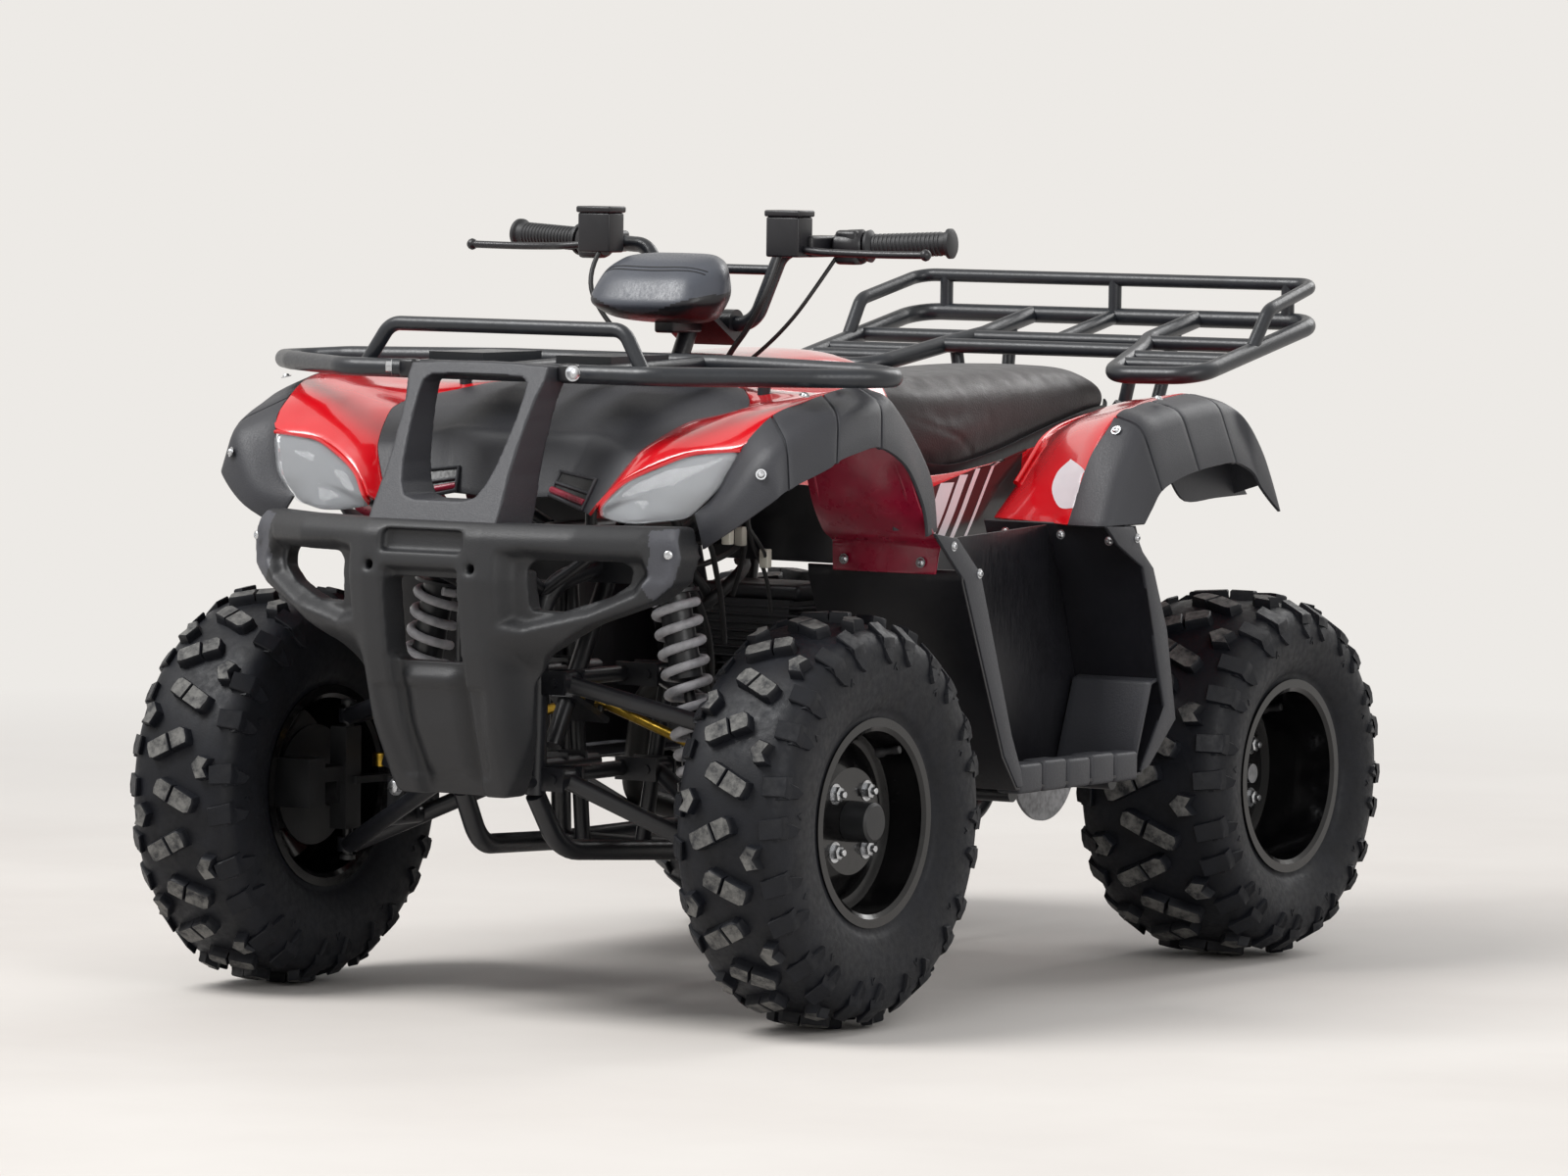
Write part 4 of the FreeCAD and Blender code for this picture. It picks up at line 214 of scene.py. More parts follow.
def powder_coat(code, name="powder_coated_steel_tube"):
    """Polyester powder coat on steel tube: satin, with a soft orange peel and dust on it."""
    material, tree, place = finish_tree(name)
    base = mottled(tree, place, 45, 5, (0.5, 0.8), linear(code), shade_of(code, 1.5))
    rough = patches(tree, place, 4, 2, (0.3, 0.7), (0.3, 0.42))
    return shaded(material, {"Base Color": base, "Roughness": rough, "IOR": 1.5,
                             "Normal": grained(tree, place, 4, 2, 0.12)})


def gloss_enamel():
    """Stove-enamelled pressed steel wheel: nearly black with a wet shine."""
    material, tree, place = finish_tree("gloss_enamelled_wheel")
    base = mottled(tree, place, 40, 4, (0.4, 0.8), linear("#060607"), linear("#121112"))
    rough = patches(tree, place, 14, 4, (0.35, 0.8), (0.1, 0.3))
    return shaded(material, {"Base Color": base, "Roughness": rough, "IOR": 1.5, "Specular IOR Level": 0.3,
                             "Coat Weight": 0.3, "Coat Roughness": 0.06})


def tyre_rubber(code):
    """Carbon-filled rubber fresh from the mould: blue-black, matt on the walls, faintly waxy."""
    material, tree, place = finish_tree("moulded_tyre_rubber")
    base = mottled(tree, place, 35, 5, (0.35, 0.75), shade_of(code, 0.72), shade_of(code, 1.25))
    rough = patches(tree, place, 9, 5, (0.3, 0.75), (0.42, 0.66))
    return shaded(material, {"Base Color": base, "Roughness": rough, "IOR": 1.52, "Specular IOR Level": 0.25,
                             "Normal": grained(tree, place, 2.4, 4, 0.22)})


def dusty_rubber(code, rubber):
    """The lugs' running faces: scuffed by concrete, greyer and rougher than the walls."""
    material, tree, place = finish_tree("scuffed_tyre_lug")
    base = mottled(tree, place, 22, 6, (0.36, 0.6), linear(rubber), linear(code), 0.7)
    return shaded(material, {"Base Color": base, "Roughness": 0.78, "IOR": 1.52,
                             "Normal": grained(tree, place, 2.4, 5, 0.4, 0.7)})


def grained_vinyl(code):
    """Knitted-back vinyl with a leather grain: dark, soft sheen in the creases' lee."""
    material, tree, place = finish_tree("grained_seat_vinyl")
    pebble = add(tree, "ShaderNodeTexVoronoi", {"feature": "SMOOTH_F1"},
                 {"Vector": place, "Scale": 1 / (2.6 * MM)})
    relief = add(tree, "ShaderNodeBump", {}, {"Height": pebble.outputs["Distance"], "Distance": 0.3 * MM})
    base = mottled(tree, place, 80, 4, (0.3, 0.7), shade_of(code, 0.85), shade_of(code, 1.15))
    rough = patches(tree, place, 20, 3, (0.3, 0.7), (0.44, 0.58))
    return shaded(material, {"Base Color": base, "Roughness": rough, "IOR": 1.5, "Sheen Weight": 0.15,
                             "Sheen Roughness": 0.4, "Normal": relief.outputs[0]})


def spring_paint(code):
    """Powder coat on spring wire: flat grey with road dust on top."""
    material, tree, place = finish_tree("powder_coated_spring_wire")
    base = mottled(tree, place, 16, 5, (0.4, 0.75), linear(code), shade_of(code, 0.55))
    return shaded(material, {"Base Color": base, "Roughness": 0.42, "IOR": 1.5,
                             "Normal": grained(tree, place, 3, 3, 0.1)})


def plated(name, code, rough):
    """Electroplated fastener steel: bright metal, dulled in patches by handling."""
    material, tree, place = finish_tree(name)
    base = mottled(tree, place, 8, 5, (0.4, 0.8), linear(code), shade_of(code, 0.6))
    dull = patches(tree, place, 8, 5, (0.3, 0.7), (rough, rough + 0.18))
    return shaded(material, {"Base Color": base, "Metallic": 1.0, "Roughness": dull})


def cast_metal(name, code, metallic=0.0):
    """Sand-cast metal under paint: pebbled skin and oily dark patches."""
    material, tree, place = finish_tree(name)
    base = mottled(tree, place, 50, 5, (0.4, 0.7), linear(code), shade_of(code, 0.45))
    rough = patches(tree, place, 50, 5, (0.4, 0.7), (0.5, 0.34))
    return shaded(material, {"Base Color": base, "Metallic": metallic, "Roughness": rough,
                             "Normal": grained(tree, place, 3, 5, 0.3, 0.7)})


def soft_rubber(name, code):
    """Extruded or moulded soft rubber of grips and hoses: matt black with a dry bloom."""
    material, tree, place = finish_tree(name)
    base = mottled(tree, place, 25, 4, (0.4, 0.8), linear(code), shade_of(code, 1.8))
    return shaded(material, {"Base Color": base, "Roughness": 0.55, "IOR": 1.52,
                             "Normal": grained(tree, place, 2.5, 3, 0.1)})


def clear_lens():
    """Injection-moulded polycarbonate: water-clear, so mostly its sharp reflections and fine dust show."""
    material, tree, place = finish_tree("clear_polycarbonate_lens")
    rough = patches(tree, place, 25, 5, (0.45, 0.85), (0.02, 0.12))
    return shaded(material, {"Base Color": linear("#F4F7FA"), "Roughness": rough, "IOR": 1.45, "Alpha": 0.14})


def aluminised():
    """Vacuum-metallised reflector: a mirror broken by moulded facets."""
    material, tree, place = finish_tree("aluminised_reflector")
    facets = add(tree, "ShaderNodeTexVoronoi", {"feature": "F1"}, {"Vector": place, "Scale": 1 / (16 * MM)})
    relief = add(tree, "ShaderNodeBump", {}, {"Height": facets.outputs["Distance"], "Distance": 3 * MM})
    return shaded(material, {"Base Color": linear("#DADCE0"), "Metallic": 1.0, "Roughness": 0.2,
                             "Normal": relief.outputs[0]})


def printed_film(name, code):
    """Printed vinyl film on a panel: even colour with a satin laminate."""
    material, tree, place = finish_tree(name)
    base = mottled(tree, place, 40, 3, (0.3, 0.7), shade_of(code, 0.95), linear(code))
    return shaded(material, {"Base Color": base, "Roughness": 0.3, "IOR": 1.5, "Coat Weight": 0.4,
                             "Coat Roughness": 0.1})


def red_lens():
    """Moulded acrylic tail lens: deep red with an inner prism pattern."""
    material, tree, place = finish_tree("red_acrylic_lens")
    prisms = add(tree, "ShaderNodeTexVoronoi", {"distance": "CHEBYCHEV"},
                 {"Vector": place, "Scale": 1 / (7 * MM)}).outputs["Distance"]
    share = add(tree, "ShaderNodeMapRange", {}, {"Value": prisms, "From Min": 0.1, "From Max": 0.6})
    base = add(tree, "ShaderNodeMix", {"data_type": "RGBA"},
               {"Factor": share.outputs[0], MIX_FIRST: linear("#8E0610"), MIX_SECOND: linear("#4A0206")})
    relief = add(tree, "ShaderNodeBump", {}, {"Height": prisms, "Distance": 0.5 * MM})
    return shaded(material, {"Base Color": base.outputs[MIX_RESULT], "Roughness": 0.12, "IOR": 1.49,
                             "Coat Weight": 0.5, "Normal": relief.outputs[0]})


finishes = {}


def make_finishes(colours):
    """Every finish of the machine, by the name of the part that wears it."""
    finishes.update(
        red=gloss_red(colours.red),
        # the skirts' and the intake sill's red, darkened as painted shade
        smoked=smoked_red(colours.smoked),
        grey=textured_plastic(colours.grey),
        guard=textured_plastic("#1D1E21", "grained_guard_polyethylene"),
        cap=textured_plastic("#45464C", "grained_end_cap", 3),
        pod=plain_plastic("#3C3F46", "satin_pod_cover"),
        # near-black painted shade for the intake's hollow and the pod's grooves
        groove=plain_plastic("#08080A", "shadowed_groove"),
        black=plain_plastic(colours.black),
        strip=textured_plastic("#34353A", "grained_footwell_edge", 3),
        steel=powder_coat(colours.steel),
        arms=powder_coat("#15161A", "powder_coated_arm"),
        wheel=gloss_enamel(),
        rubber=tyre_rubber(colours.rubber),
        dust=dusty_rubber(colours.dust, colours.rubber),
        vinyl=grained_vinyl(colours.vinyl),
        spring=spring_paint(colours.spring),
        zinc=plated("bright_zinc_plate", "#C9CBCE", 0.2),
        yellow_zinc=plated("yellow_zinc_plate", "#B8963C", 0.28),
        casting=cast_metal("painted_iron_casting", "#1A1B1D"),
        engine=cast_metal("painted_aluminium_crankcase", "#2B2C2F", 0.4),
        exhaust=cast_metal("heat_proof_black_steel", "#1D1C1B", 0.3),
        machined=plated("machined_steel", "#8C8D90", 0.3),
        grip=soft_rubber("moulded_grip_rubber", "#17181B"),
        hose=soft_rubber("extruded_hose_rubber", "#0E0E10"),
        plug=plain_plastic("#A9A79C", "moulded_nylon_plug"),
        lens=clear_lens(),
        mirror=aluminised(),
        bezel=plain_plastic("#26272B", "lamp_housing_polypropylene"),
        white_film=printed_film("white_printed_film", "#E6E1E4"),
        black_film=printed_film("black_printed_film", "#151316"),
        tail=red_lens(),
    )


# Making meshes
def piece(name, mesh, body, wears, replaces=()):
    """A finished mesh as a piece of the machine."""
    thing = bpy.data.objects.new(name, mesh)
    bpy.context.scene.collection.objects.link(thing)
    for wear in wears:
        mesh.materials.append(finishes[wear])
    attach(thing, body)
    if replaces:
        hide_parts(*replaces)
    return thing


def to_mesh(shape, sharp=40):
    """The bmesh as a mesh with smooth shading, kept sharp past an angle in degrees."""
    mesh = bpy.data.meshes.new("shape")
    shape.to_mesh(mesh)
    shape.free()
    for face in mesh.polygons:
        face.use_smooth = True
    mesh.set_sharp_from_angle(angle=math.radians(sharp))
    return mesh


def shaped(mesh, modifiers, sharp=40):
    """The mesh after the modifiers, each as its kind and settings."""
    thing = bpy.data.objects.new("working", mesh)
    bpy.context.scene.collection.objects.link(thing)
    for kind, settings in modifiers:
        modifier = thing.modifiers.new(kind, kind)
        for name, value in settings.items():
            setattr(modifier, name, value)
    bpy.context.view_layer.update()
    result = bpy.data.meshes.new_from_object(thing.evaluated_get(bpy.context.evaluated_depsgraph_get()))
    bpy.data.objects.remove(thing)
    for face in result.polygons:
        face.use_smooth = True
    result.set_sharp_from_angle(angle=math.radians(sharp))
    return result


def joined(meshes, mirror=False):
    """Several meshes as one, with a mirror image across the machine if asked."""
    shape = bmesh.new()
    for mesh in meshes:
        shape.from_mesh(mesh)
    if mirror:
        copy = bmesh.ops.duplicate(shape, geom=shape.verts[:] + shape.edges[:] + shape.faces[:])["geom"]
        for vertex in (item for item in copy if isinstance(item, bmesh.types.BMVert)):
            vertex.co.x *= -1
        bmesh.ops.reverse_faces(shape, faces=[item for item in copy if isinstance(item, bmesh.types.BMFace)])
    return to_mesh(shape)


def mirrored(mesh):
    """The mesh's mirror image across the machine."""
    shape = bmesh.new()
    shape.from_mesh(mesh)
    for vertex in shape.verts:
        vertex.co.x *= -1
    bmesh.ops.reverse_faces(shape, faces=shape.faces[:])
    return to_mesh(shape)


def bridge(shape, rings):
    """Faces from each closed ring of points to the next, all the way round."""
    for ring, follower in zip(rings, rings[1:]):
        for step in range(len(ring)):
            after = (step + 1) % len(ring)
            shape.faces.new((ring[step], ring[after], follower[after], follower[step]))


def both_sides(name, meshes, wear, replaces=()):
    """A piece of the chassis on both sides, from the meshes of its left side."""
    return piece(name, joined(meshes, True), "chassis", (wear,), replaces)


def rounded_row(corners, radius, steps=4):
    """A row through corners in millimetres, each inner corner rounded."""
    points = [Vector(point) for point in corners]
    row = [points[0]]
    for before, corner, after in zip(points, points[1:], points[2:]):
        reach = min(radius, 0.45 * (before - corner).length, 0.45 * (after - corner).length)
        start = corner + (before - corner).normalized() * reach
        end = corner + (after - corner).normalized() * reach
        row.append((row[-1] + start) / 2)
        for step in range(steps + 1):
            share = step / steps
            row.append(start * (1 - share) ** 2 + corner * 2 * share * (1 - share) + end * share ** 2)
    row.append((row[-1] + points[-1]) / 2)
    row.append(points[-1])
    return row


def between(rows, share):
    """A row at a place along the rows, on a smooth curve through them."""
    number = min(int(share), len(rows) - 2)
    t = share - number
    around = [rows[max(0, min(len(rows) - 1, number + step))] for step in (-1, 0, 1, 2)]
    result = []
    for a, b, c, d in zip(*around):
        second, third = 2 * a - 5 * b + 4 * c - d, 3 * b - a - 3 * c + d
        result.append(0.5 * (2 * b + (c - a) * t + second * t ** 2 + third * t ** 3))
    return result


def skin(rows, radius=12, fine=5, grooves=(), depth=0.0):
    """A grid of faces through rows of corners, in metres, with narrow sunk lines at the rows in grooves."""
    rows = [rounded_row(row, radius) for row in rows]
    shares = {step / fine for step in range((len(rows) - 1) * fine + 1)}
    sunk = {}
    for number in grooves:
        for way in (-1, 1):
            span = max((a - b).length for a, b in zip(rows[number], rows[number + way]))
            for reach, low in ((1.5, depth), (2.7, 0.0)):
                share = number + way * reach / span
                shares.add(share)
                sunk[share] = low
        sunk[float(number)] = depth
    shape = bmesh.new()
    places = sorted(shares)
    grid = [[shape.verts.new(point * MM) for point in between(rows, share)] for share in places]
    for line, follower in zip(grid, grid[1:]):
        for a, b, c, d in zip(line, line[1:], follower[1:], follower):
            shape.faces.new((a, b, c, d))
    shape.normal_update()
    moves = []
    for share, line in zip(places, grid):
        moves += [(vertex, vertex.normal * sunk.get(share, 0.0) * MM) for vertex in line]
    for vertex, move in moves:
        vertex.co -= move
    return shape, grid


def shell(rows, wall, out, radius=12, fine=5, grooves=(), depth=0.0):
    """A moulded panel: the grid through rows, facing out, given a wall and rounded edges."""
    shape, grid = skin(rows, radius, fine)
    middle = grid[len(grid) // 2][len(grid[0]) // 2]
    turned = middle.normal.dot(Vector(out)) < 0
    shape.free()
    shape, grid = skin(rows, radius, fine, grooves, -depth if turned else depth)
    if turned:
        bmesh.ops.reverse_faces(shape, faces=shape.faces[:])
    mesh = to_mesh(shape)
    walled = {"thickness": wall * MM, "offset": -1.0, "use_even_offset": False}
    softened = {"width": MM, "segments": 2, "limit_method": "ANGLE", "angle_limit": math.radians(50)}
    return shaped(mesh, (("SOLIDIFY", walled), ("BEVEL", softened)))


def turned_mesh(profile, start, end, count=32):
    """A turned form: profile as distance along and radius, from start towards end, all in millimetres."""
    start, end = Vector(start), Vector(end)
    axis = (end - start).normalized()
    side = axis.orthogonal().normalized()
    other = axis.cross(side)
    shape = bmesh.new()
    rings = []
    for along, radius in profile:
        centre = start + axis * along
        if radius < 1e-6:
            rings.append([shape.verts.new(centre * MM)])
            continue
        spokes = [2 * math.pi * step / count for step in range(count)]
        rings.append([shape.verts.new((centre + (side * math.cos(a) + other * math.sin(a)) * radius) * MM)
                      for a in spokes])
    for ring, follower in zip(rings, rings[1:]):
        for step in range(count):
            after = (step + 1) % count
            if len(ring) == 1 and len(follower) == 1:
                continue
            if len(ring) == 1:
                shape.faces.new((ring[0], follower[after], follower[step]))
            elif len(follower) == 1:
                shape.faces.new((ring[step], ring[after], follower[0]))
            else:
                shape.faces.new((ring[step], ring[after], follower[after], follower[step]))
    for ring, flip in ((rings[0], True), (rings[-1], False)):
        if len(ring) > 1:
            shape.faces.new(ring[::-1] if flip else ring)
    bmesh.ops.recalc_face_normals(shape, faces=shape.faces[:])
    return to_mesh(shape, 35)


def pipe(points, radius, round_bend=True):
    """A hose or bar along points in millimetres."""
    curve = bpy.data.curves.new("route", "CURVE")
    curve.dimensions = "3D"
    line = curve.splines.new("NURBS" if round_bend else "POLY")
    line.points.add(len(points) - 1)
    for place, point in zip(line.points, points):
        place.co = (*(Vector(point) * MM), 1)
    if round_bend:
        line.use_endpoint_u = True
        line.order_u = 3
        line.resolution_u = 6
    curve.bevel_depth = radius * MM
    curve.bevel_resolution = 3
    curve.use_fill_caps = True
    thing = bpy.data.objects.new("route", curve)
    bpy.context.scene.collection.objects.link(thing)
    bpy.context.view_layer.update()
    mesh = bpy.data.meshes.new_from_object(thing.evaluated_get(bpy.context.evaluated_depsgraph_get()))
    bpy.data.objects.remove(thing)
    mesh.materials.clear()
    for face in mesh.polygons:
        face.use_smooth = True
    mesh.set_sharp_from_angle(angle=math.radians(50))
    return mesh


def helix(start, end, radius, wire, turns, steps=28):
    """A coil spring of round wire with closed ends."""
    start, end = Vector(start), Vector(end)
    axis = (end - start).normalized()
    side = axis.orthogonal().normalized()
    other = axis.cross(side)
    length = (end - start).length
    points = []
    total = turns + 1.5
    for step in range(int(total * steps) + 1):
        turn = step / steps
        share = min(1, max(0, (turn - 0.75) / turns))
        flat = wire * 1.6 * (min(turn, 0.75) + max(0, turn - 0.75 - turns)) / 0.75
        along = wire + flat + share * (length - 2 * wire - 3.2 * wire)
        angle = 2 * math.pi * turn
        points.append(start + axis * along + (side * math.cos(angle) + other * math.sin(angle)) * (radius - wire))
    return pipe(points, wire, False)


def brick(low, high, bevel=3.0, segments=3):
    """A moulded block with rounded edges, from its corners in millimetres."""
    shape = bmesh.new()
    bmesh.ops.create_cube(shape, size=1)
    low, high = Vector(low), Vector(high)
    for vertex in shape.verts:
        vertex.co = Vector([(low[i] + high[i]) / 2 + vertex.co[i] * (high[i] - low[i]) for i in range(3)]) * MM
    bmesh.ops.bevel(shape, geom=shape.edges[:], offset=bevel * MM, segments=segments, affect="EDGES", profile=0.5)
    return to_mesh(shape, 50)


def bolt(place, way, radius=6.5, height=5.0, hexagon=False, washer=True):
    """A screw head, domed or hexagonal, with its washer."""
    start = Vector(place)
    end = start + Vector(way)
    parts = []
    if washer:
        parts.append(turned_mesh([(0, 0), (0, radius * 1.35), (1.2, radius * 1.35), (1.2, 0)], start, end, 24))
    if hexagon:
        head = [(1.0, 0), (1.0, radius), (height, radius), (height + 0.8, radius * 0.86), (height + 0.8, 0)]
        parts.append(turned_mesh(head, start, end, 6))
    else:
        dome = [(1.0, 0), (1.0, radius), (height * 0.5, radius * 0.94), (height * 0.85, radius * 0.62),
                (height * 0.85, radius * 0.42), (height * 0.4, radius * 0.36), (height * 0.4, 0)]
        parts.append(turned_mesh(dome, start, end, 20))
    return joined(parts)


def softened(node, voxel, rounds):
    """A moulded part's corners rounded off all over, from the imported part's own shape."""
    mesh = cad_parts[node].data.copy()
    mesh.materials.clear()
    steps = (("WELD", {"merge_threshold": 0.0001}), ("REMESH", {"mode": "VOXEL", "voxel_size": voxel * MM}),
             ("SMOOTH", {"factor": 0.5, "iterations": rounds}))
    return shaped(mesh, steps, SMOOTH)


# Tyres
FRONT_CARCASS = ((69, 127.6), (71, 146), (78, 158), (84.5, 180), (87.5, 205), (86.5, 226), (82, 243), (70, 256),
                 (45, 263), (0, 266))
REAR_CARCASS = ((98, 127.6), (100, 146), (108, 156), (117, 174), (121.5, 195), (120.5, 214), (114, 230), (98, 243),
                (60, 251), (0, 253.5))
TYRE_STEPS = 144
BEAD_RADIUS = 129.5
LUG_HALF_WIDTH = 88  # the lugs' outlines are drawn for a tyre this wide from its middle
# Each axle's name, y, tyre radius, nut face, carcass, and the bodies of its left and right wheels
WHEELS = (("front", FRONT_AXLE, 280, 484, FRONT_CARCASS, ("front_wheel_left", "front_wheel_right")),
          ("rear", REAR_AXLE, 267, 404, REAR_CARCASS, ("rear_wheels", "rear_wheels")))
NUT_CIRCLE = 55


def smooth_profile(points, steps=4):
    """A carcass half section drawn through a few points, from bead to crown."""
    points = [Vector((x, r, 0)) for x, r in points]
    rows = [[point] for point in points]
    count = (len(points) - 1) * steps
    return [between(rows, step / steps)[0] for step in range(count + 1)]


def raised(shape, outline, levels, spot):
    """A block on the tyre, closed on top: each level grows the outline and spot places its points."""
    centre = Vector((sum(p[0] for p in outline), sum(p[1] for p in outline))) / len(outline)
    rings = []
    for grow, height in levels:
        ring = []
        for point in outline:
            way = Vector(point) - centre
            a, b = centre + way * (1 + grow / max(way.length, 1))
            x, r, angle = spot(a, b, height)
            ring.append(shape.verts.new(Vector((x, -r * math.sin(angle), r * math.cos(angle))) * MM))
        rings.append(ring)
    bridge(shape, rings)
    return shape.faces.new(rings[-1])


def tread_lug(shape, outline, floor, top, radius, base_angle, bevel, dusty=True):
    """A lug standing on the tread: its outline as across and along the tread, in millimetres."""
    levels = ((2.2, floor), (0.3, lambda x: (floor(x) + top(x)) / 2), (0, lambda x: top(x) - bevel), (-bevel, top))
    cap = raised(shape, outline, levels, lambda x, s, height: (x, height(x), base_angle + s / radius))
    cap.material_index = 1 if dusty else 0


def wall_lug(shape, outline, out, lift, base_angle):
    """A raised mark on the sidewall: its outline as radius and arc in millimetres; out gives the wall's x."""
    levels = ((1.5, -1.5), (0.2, lift * 0.7), (-1.2, lift))
    raised(shape, outline, levels, lambda r, s, height: (out(r) + height, r, base_angle + s / r))


def tyre_mesh(section, radius, pitches, bevel):
    """A knobby tyre about the X axis: carcass, askew bars, notched lugs, shoulder blocks and wall marks."""
    profile = smooth_profile(section)
    half = max(x for x, _, _ in profile)
    crown = max(r for _, r, _ in profile)
    shape = bmesh.new()
    bead = profile[0].x - 4
    full = [(p.x, p.y) for p in profile] + [(-p.x, p.y) for p in reversed(profile[:-1])]
    full += [(-bead, BEAD_RADIUS), (bead, BEAD_RADIUS)]
    rings = []
    for step in range(TYRE_STEPS):
        angle = 2 * math.pi * step / TYRE_STEPS
        y, z = -math.sin(angle), math.cos(angle)
        rings.append([shape.verts.new(Vector((x, r * y, r * z)) * MM) for x, r in full])
    bridge(shape, rings + rings[:1])

    def floor(x):
        """Radius of the carcass at a place across it."""
        x = abs(x)
        for low, high in zip(profile, profile[1:]):
            if high.x <= x <= low.x and low.y > crown * 0.85:
                return low.y + (high.y - low.y) * (low.x - x) / max(low.x - high.x, 1e-6) - 2
        return crown - 26

    def top(x):
        """Radius of the lugs' tops at a place across it."""
        return radius - (abs(x) / half) ** 2.2 * radius * 0.05

    def wall_x(r):
        """How far out the sidewall lies at a radius."""
        for low, high in zip(profile, profile[1:]):
            if low.y <= r <= high.y:
                return low.x + (high.x - low.x) * (r - low.y) / max(high.y - low.y, 1e-6)
        return half - 6

    scale = half / LUG_HALF_WIDTH
    half_pitch = math.pi / pitches
    for number in range(2 * pitches):
        lean = 1 if number % 2 else -1
        angle = half_pitch * number
        turn = math.radians(26) * lean
        wide = 13.5
        for low, high in ((-31, -6), (-3.5, 31)):
            if high > 0:
                bar = [(low, -wide), (high, -wide), (high + 3, -7), (high + 3, 9), (high - 3, wide), (low, wide)]
            else:
                bar = [(low + 3, -wide), (high, -wide), (high, wide), (low, wide), (low - 3, 6), (low - 3, -8)]
            outline = []
            for a, b in bar:
                a *= scale * lean
                across = a * math.cos(turn) - b * math.sin(turn) + lean * 9 * scale
                outline.append((across, a * math.sin(turn) + b * math.cos(turn)))
            if lean < 0:
                outline = outline[::-1]
            tread_lug(shape, outline, floor, top, radius, angle, bevel)
        notch = [(36, -2), (47, -17), (62, -13), (56, 2), (63, 15), (46, 18)]
        outline = [(-lean * x * scale, s - 6) for x, s in notch]
        tread_lug(shape, outline if lean < 0 else outline[::-1], floor, top, radius, angle + half_pitch * 0.5,
                  bevel)
        for side, shift in ((1, 0.0), (-1, 0.5)):
            block = [(60, -15), (half - 3, -22), (half - 1, -4), (half - 2, 10), (62, 12)]
            outline = [(side * (x if x >= half - 4 else x * scale), s) for x, s in block]
            place = angle + half_pitch * (shift + (0.08 if lean > 0 else -0.08))
            tread_lug(shape, outline[::side], lambda x: crown - 30,
                      lambda x: top(x) - 5 if abs(x) < half - 6 else crown - 16, radius, place, bevel, False)
            wedge = [(crown - 14, -15), (crown - 14, 13), (crown - 44, 6), (crown - 52, -3), (crown - 38, -9)]
            local = bmesh.new()
            wall_lug(local, wedge, wall_x, 5.5, place)
            if lean > 0:
                mark = [(crown - 58, -5), (crown - 50, -1), (crown - 58, 4), (crown - 60, 3), (crown - 54, -1),
                        (crown - 60, -4)]
                wall_lug(local, mark, wall_x, 1.2, place + half_pitch * 0.5)
            if side < 0:
                for vertex in local.verts:
                    vertex.co.x *= -1
                bmesh.ops.reverse_faces(local, faces=local.faces[:])
            part = bpy.data.meshes.new("wall")
            local.to_mesh(part)
            local.free()
            shape.from_mesh(part)
            bpy.data.meshes.remove(part)
    bmesh.ops.recalc_face_normals(shape, faces=shape.faces[:])
    return to_mesh(shape, 38)


def placed(mesh, shift, flip=False):
    """A copy of the mesh moved by millimetres, first mirrored across if asked."""
    copy = mirrored(mesh) if flip else mesh.copy()
    copy.transform(Matrix.Translation(Vector(shift) * MM))
    return copy


class QUAD_OT_tyres(bpy.types.Operator):
    """Four knobby tyres"""
    bl_idname = "quad.tyres"
    bl_label = "Knobby tyres"

    def execute(self, context):
        sizes = context.scene.quad_sizes
        for axle, y, radius, _, section, bodies in WHEELS:
            mesh = tyre_mesh(section, radius, sizes.pitches, sizes.lug_bevel)
            for (side, sign), body in zip(SIDES, bodies):
                node = f"{axle}_tyre_{side}"
                low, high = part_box(node)
                middle = (low.x + high.x) / 2 / MM
                here = placed(mesh, (middle, y, radius), sign < 0)
                piece(f"{axle}_tyre_{side}_tread", here, body, ("rubber", "dust"), (node,))
        return {"FINISHED"}


class QUAD_OT_wheels(bpy.types.Operator):
    """Wheel nuts, valves and hub caps"""
    bl_idname = "quad.wheels"
    bl_label = "Wheel nuts and valves"

    def execute(self, context):
        reach = NUT_CIRCLE * math.sqrt(0.5)
        for axle, y, z, face, _, bodies in WHEELS:
            for (side, sign), body in zip(SIDES, bodies):
                nuts = []
                for a in (1, -1):
                    for b in (1, -1):
                        place = (sign * face, y + a * reach, z + b * reach)
                        nuts.append(bolt(place, (sign, 0, 0), 10.5, 9, True))
                        stud = [(6, 0), (6, 5), (15, 5), (16, 4.2), (16, 0)]
                        end = (sign * (face + 10), place[1], place[2])
                        nuts.append(turned_mesh(stud, place, end, 20))
                piece(f"{axle}_wheel_nuts_{side}", joined(nuts), body, ("zinc",))
                foot = (sign * (face + 2), y + 62, z + 88)
                tip = (sign * (face + 34), y + 66, z + 94)
                valve = [(0, 0), (0, 7), (8, 6.5), (12, 4.5), (24, 4.5), (24, 5.5), (33, 5.5), (34, 4.5), (34, 0)]
                piece(f"{axle}_valve_{side}", turned_mesh(valve, foot, tip, 20), body, ("hose",))
        return {"FINISHED"}


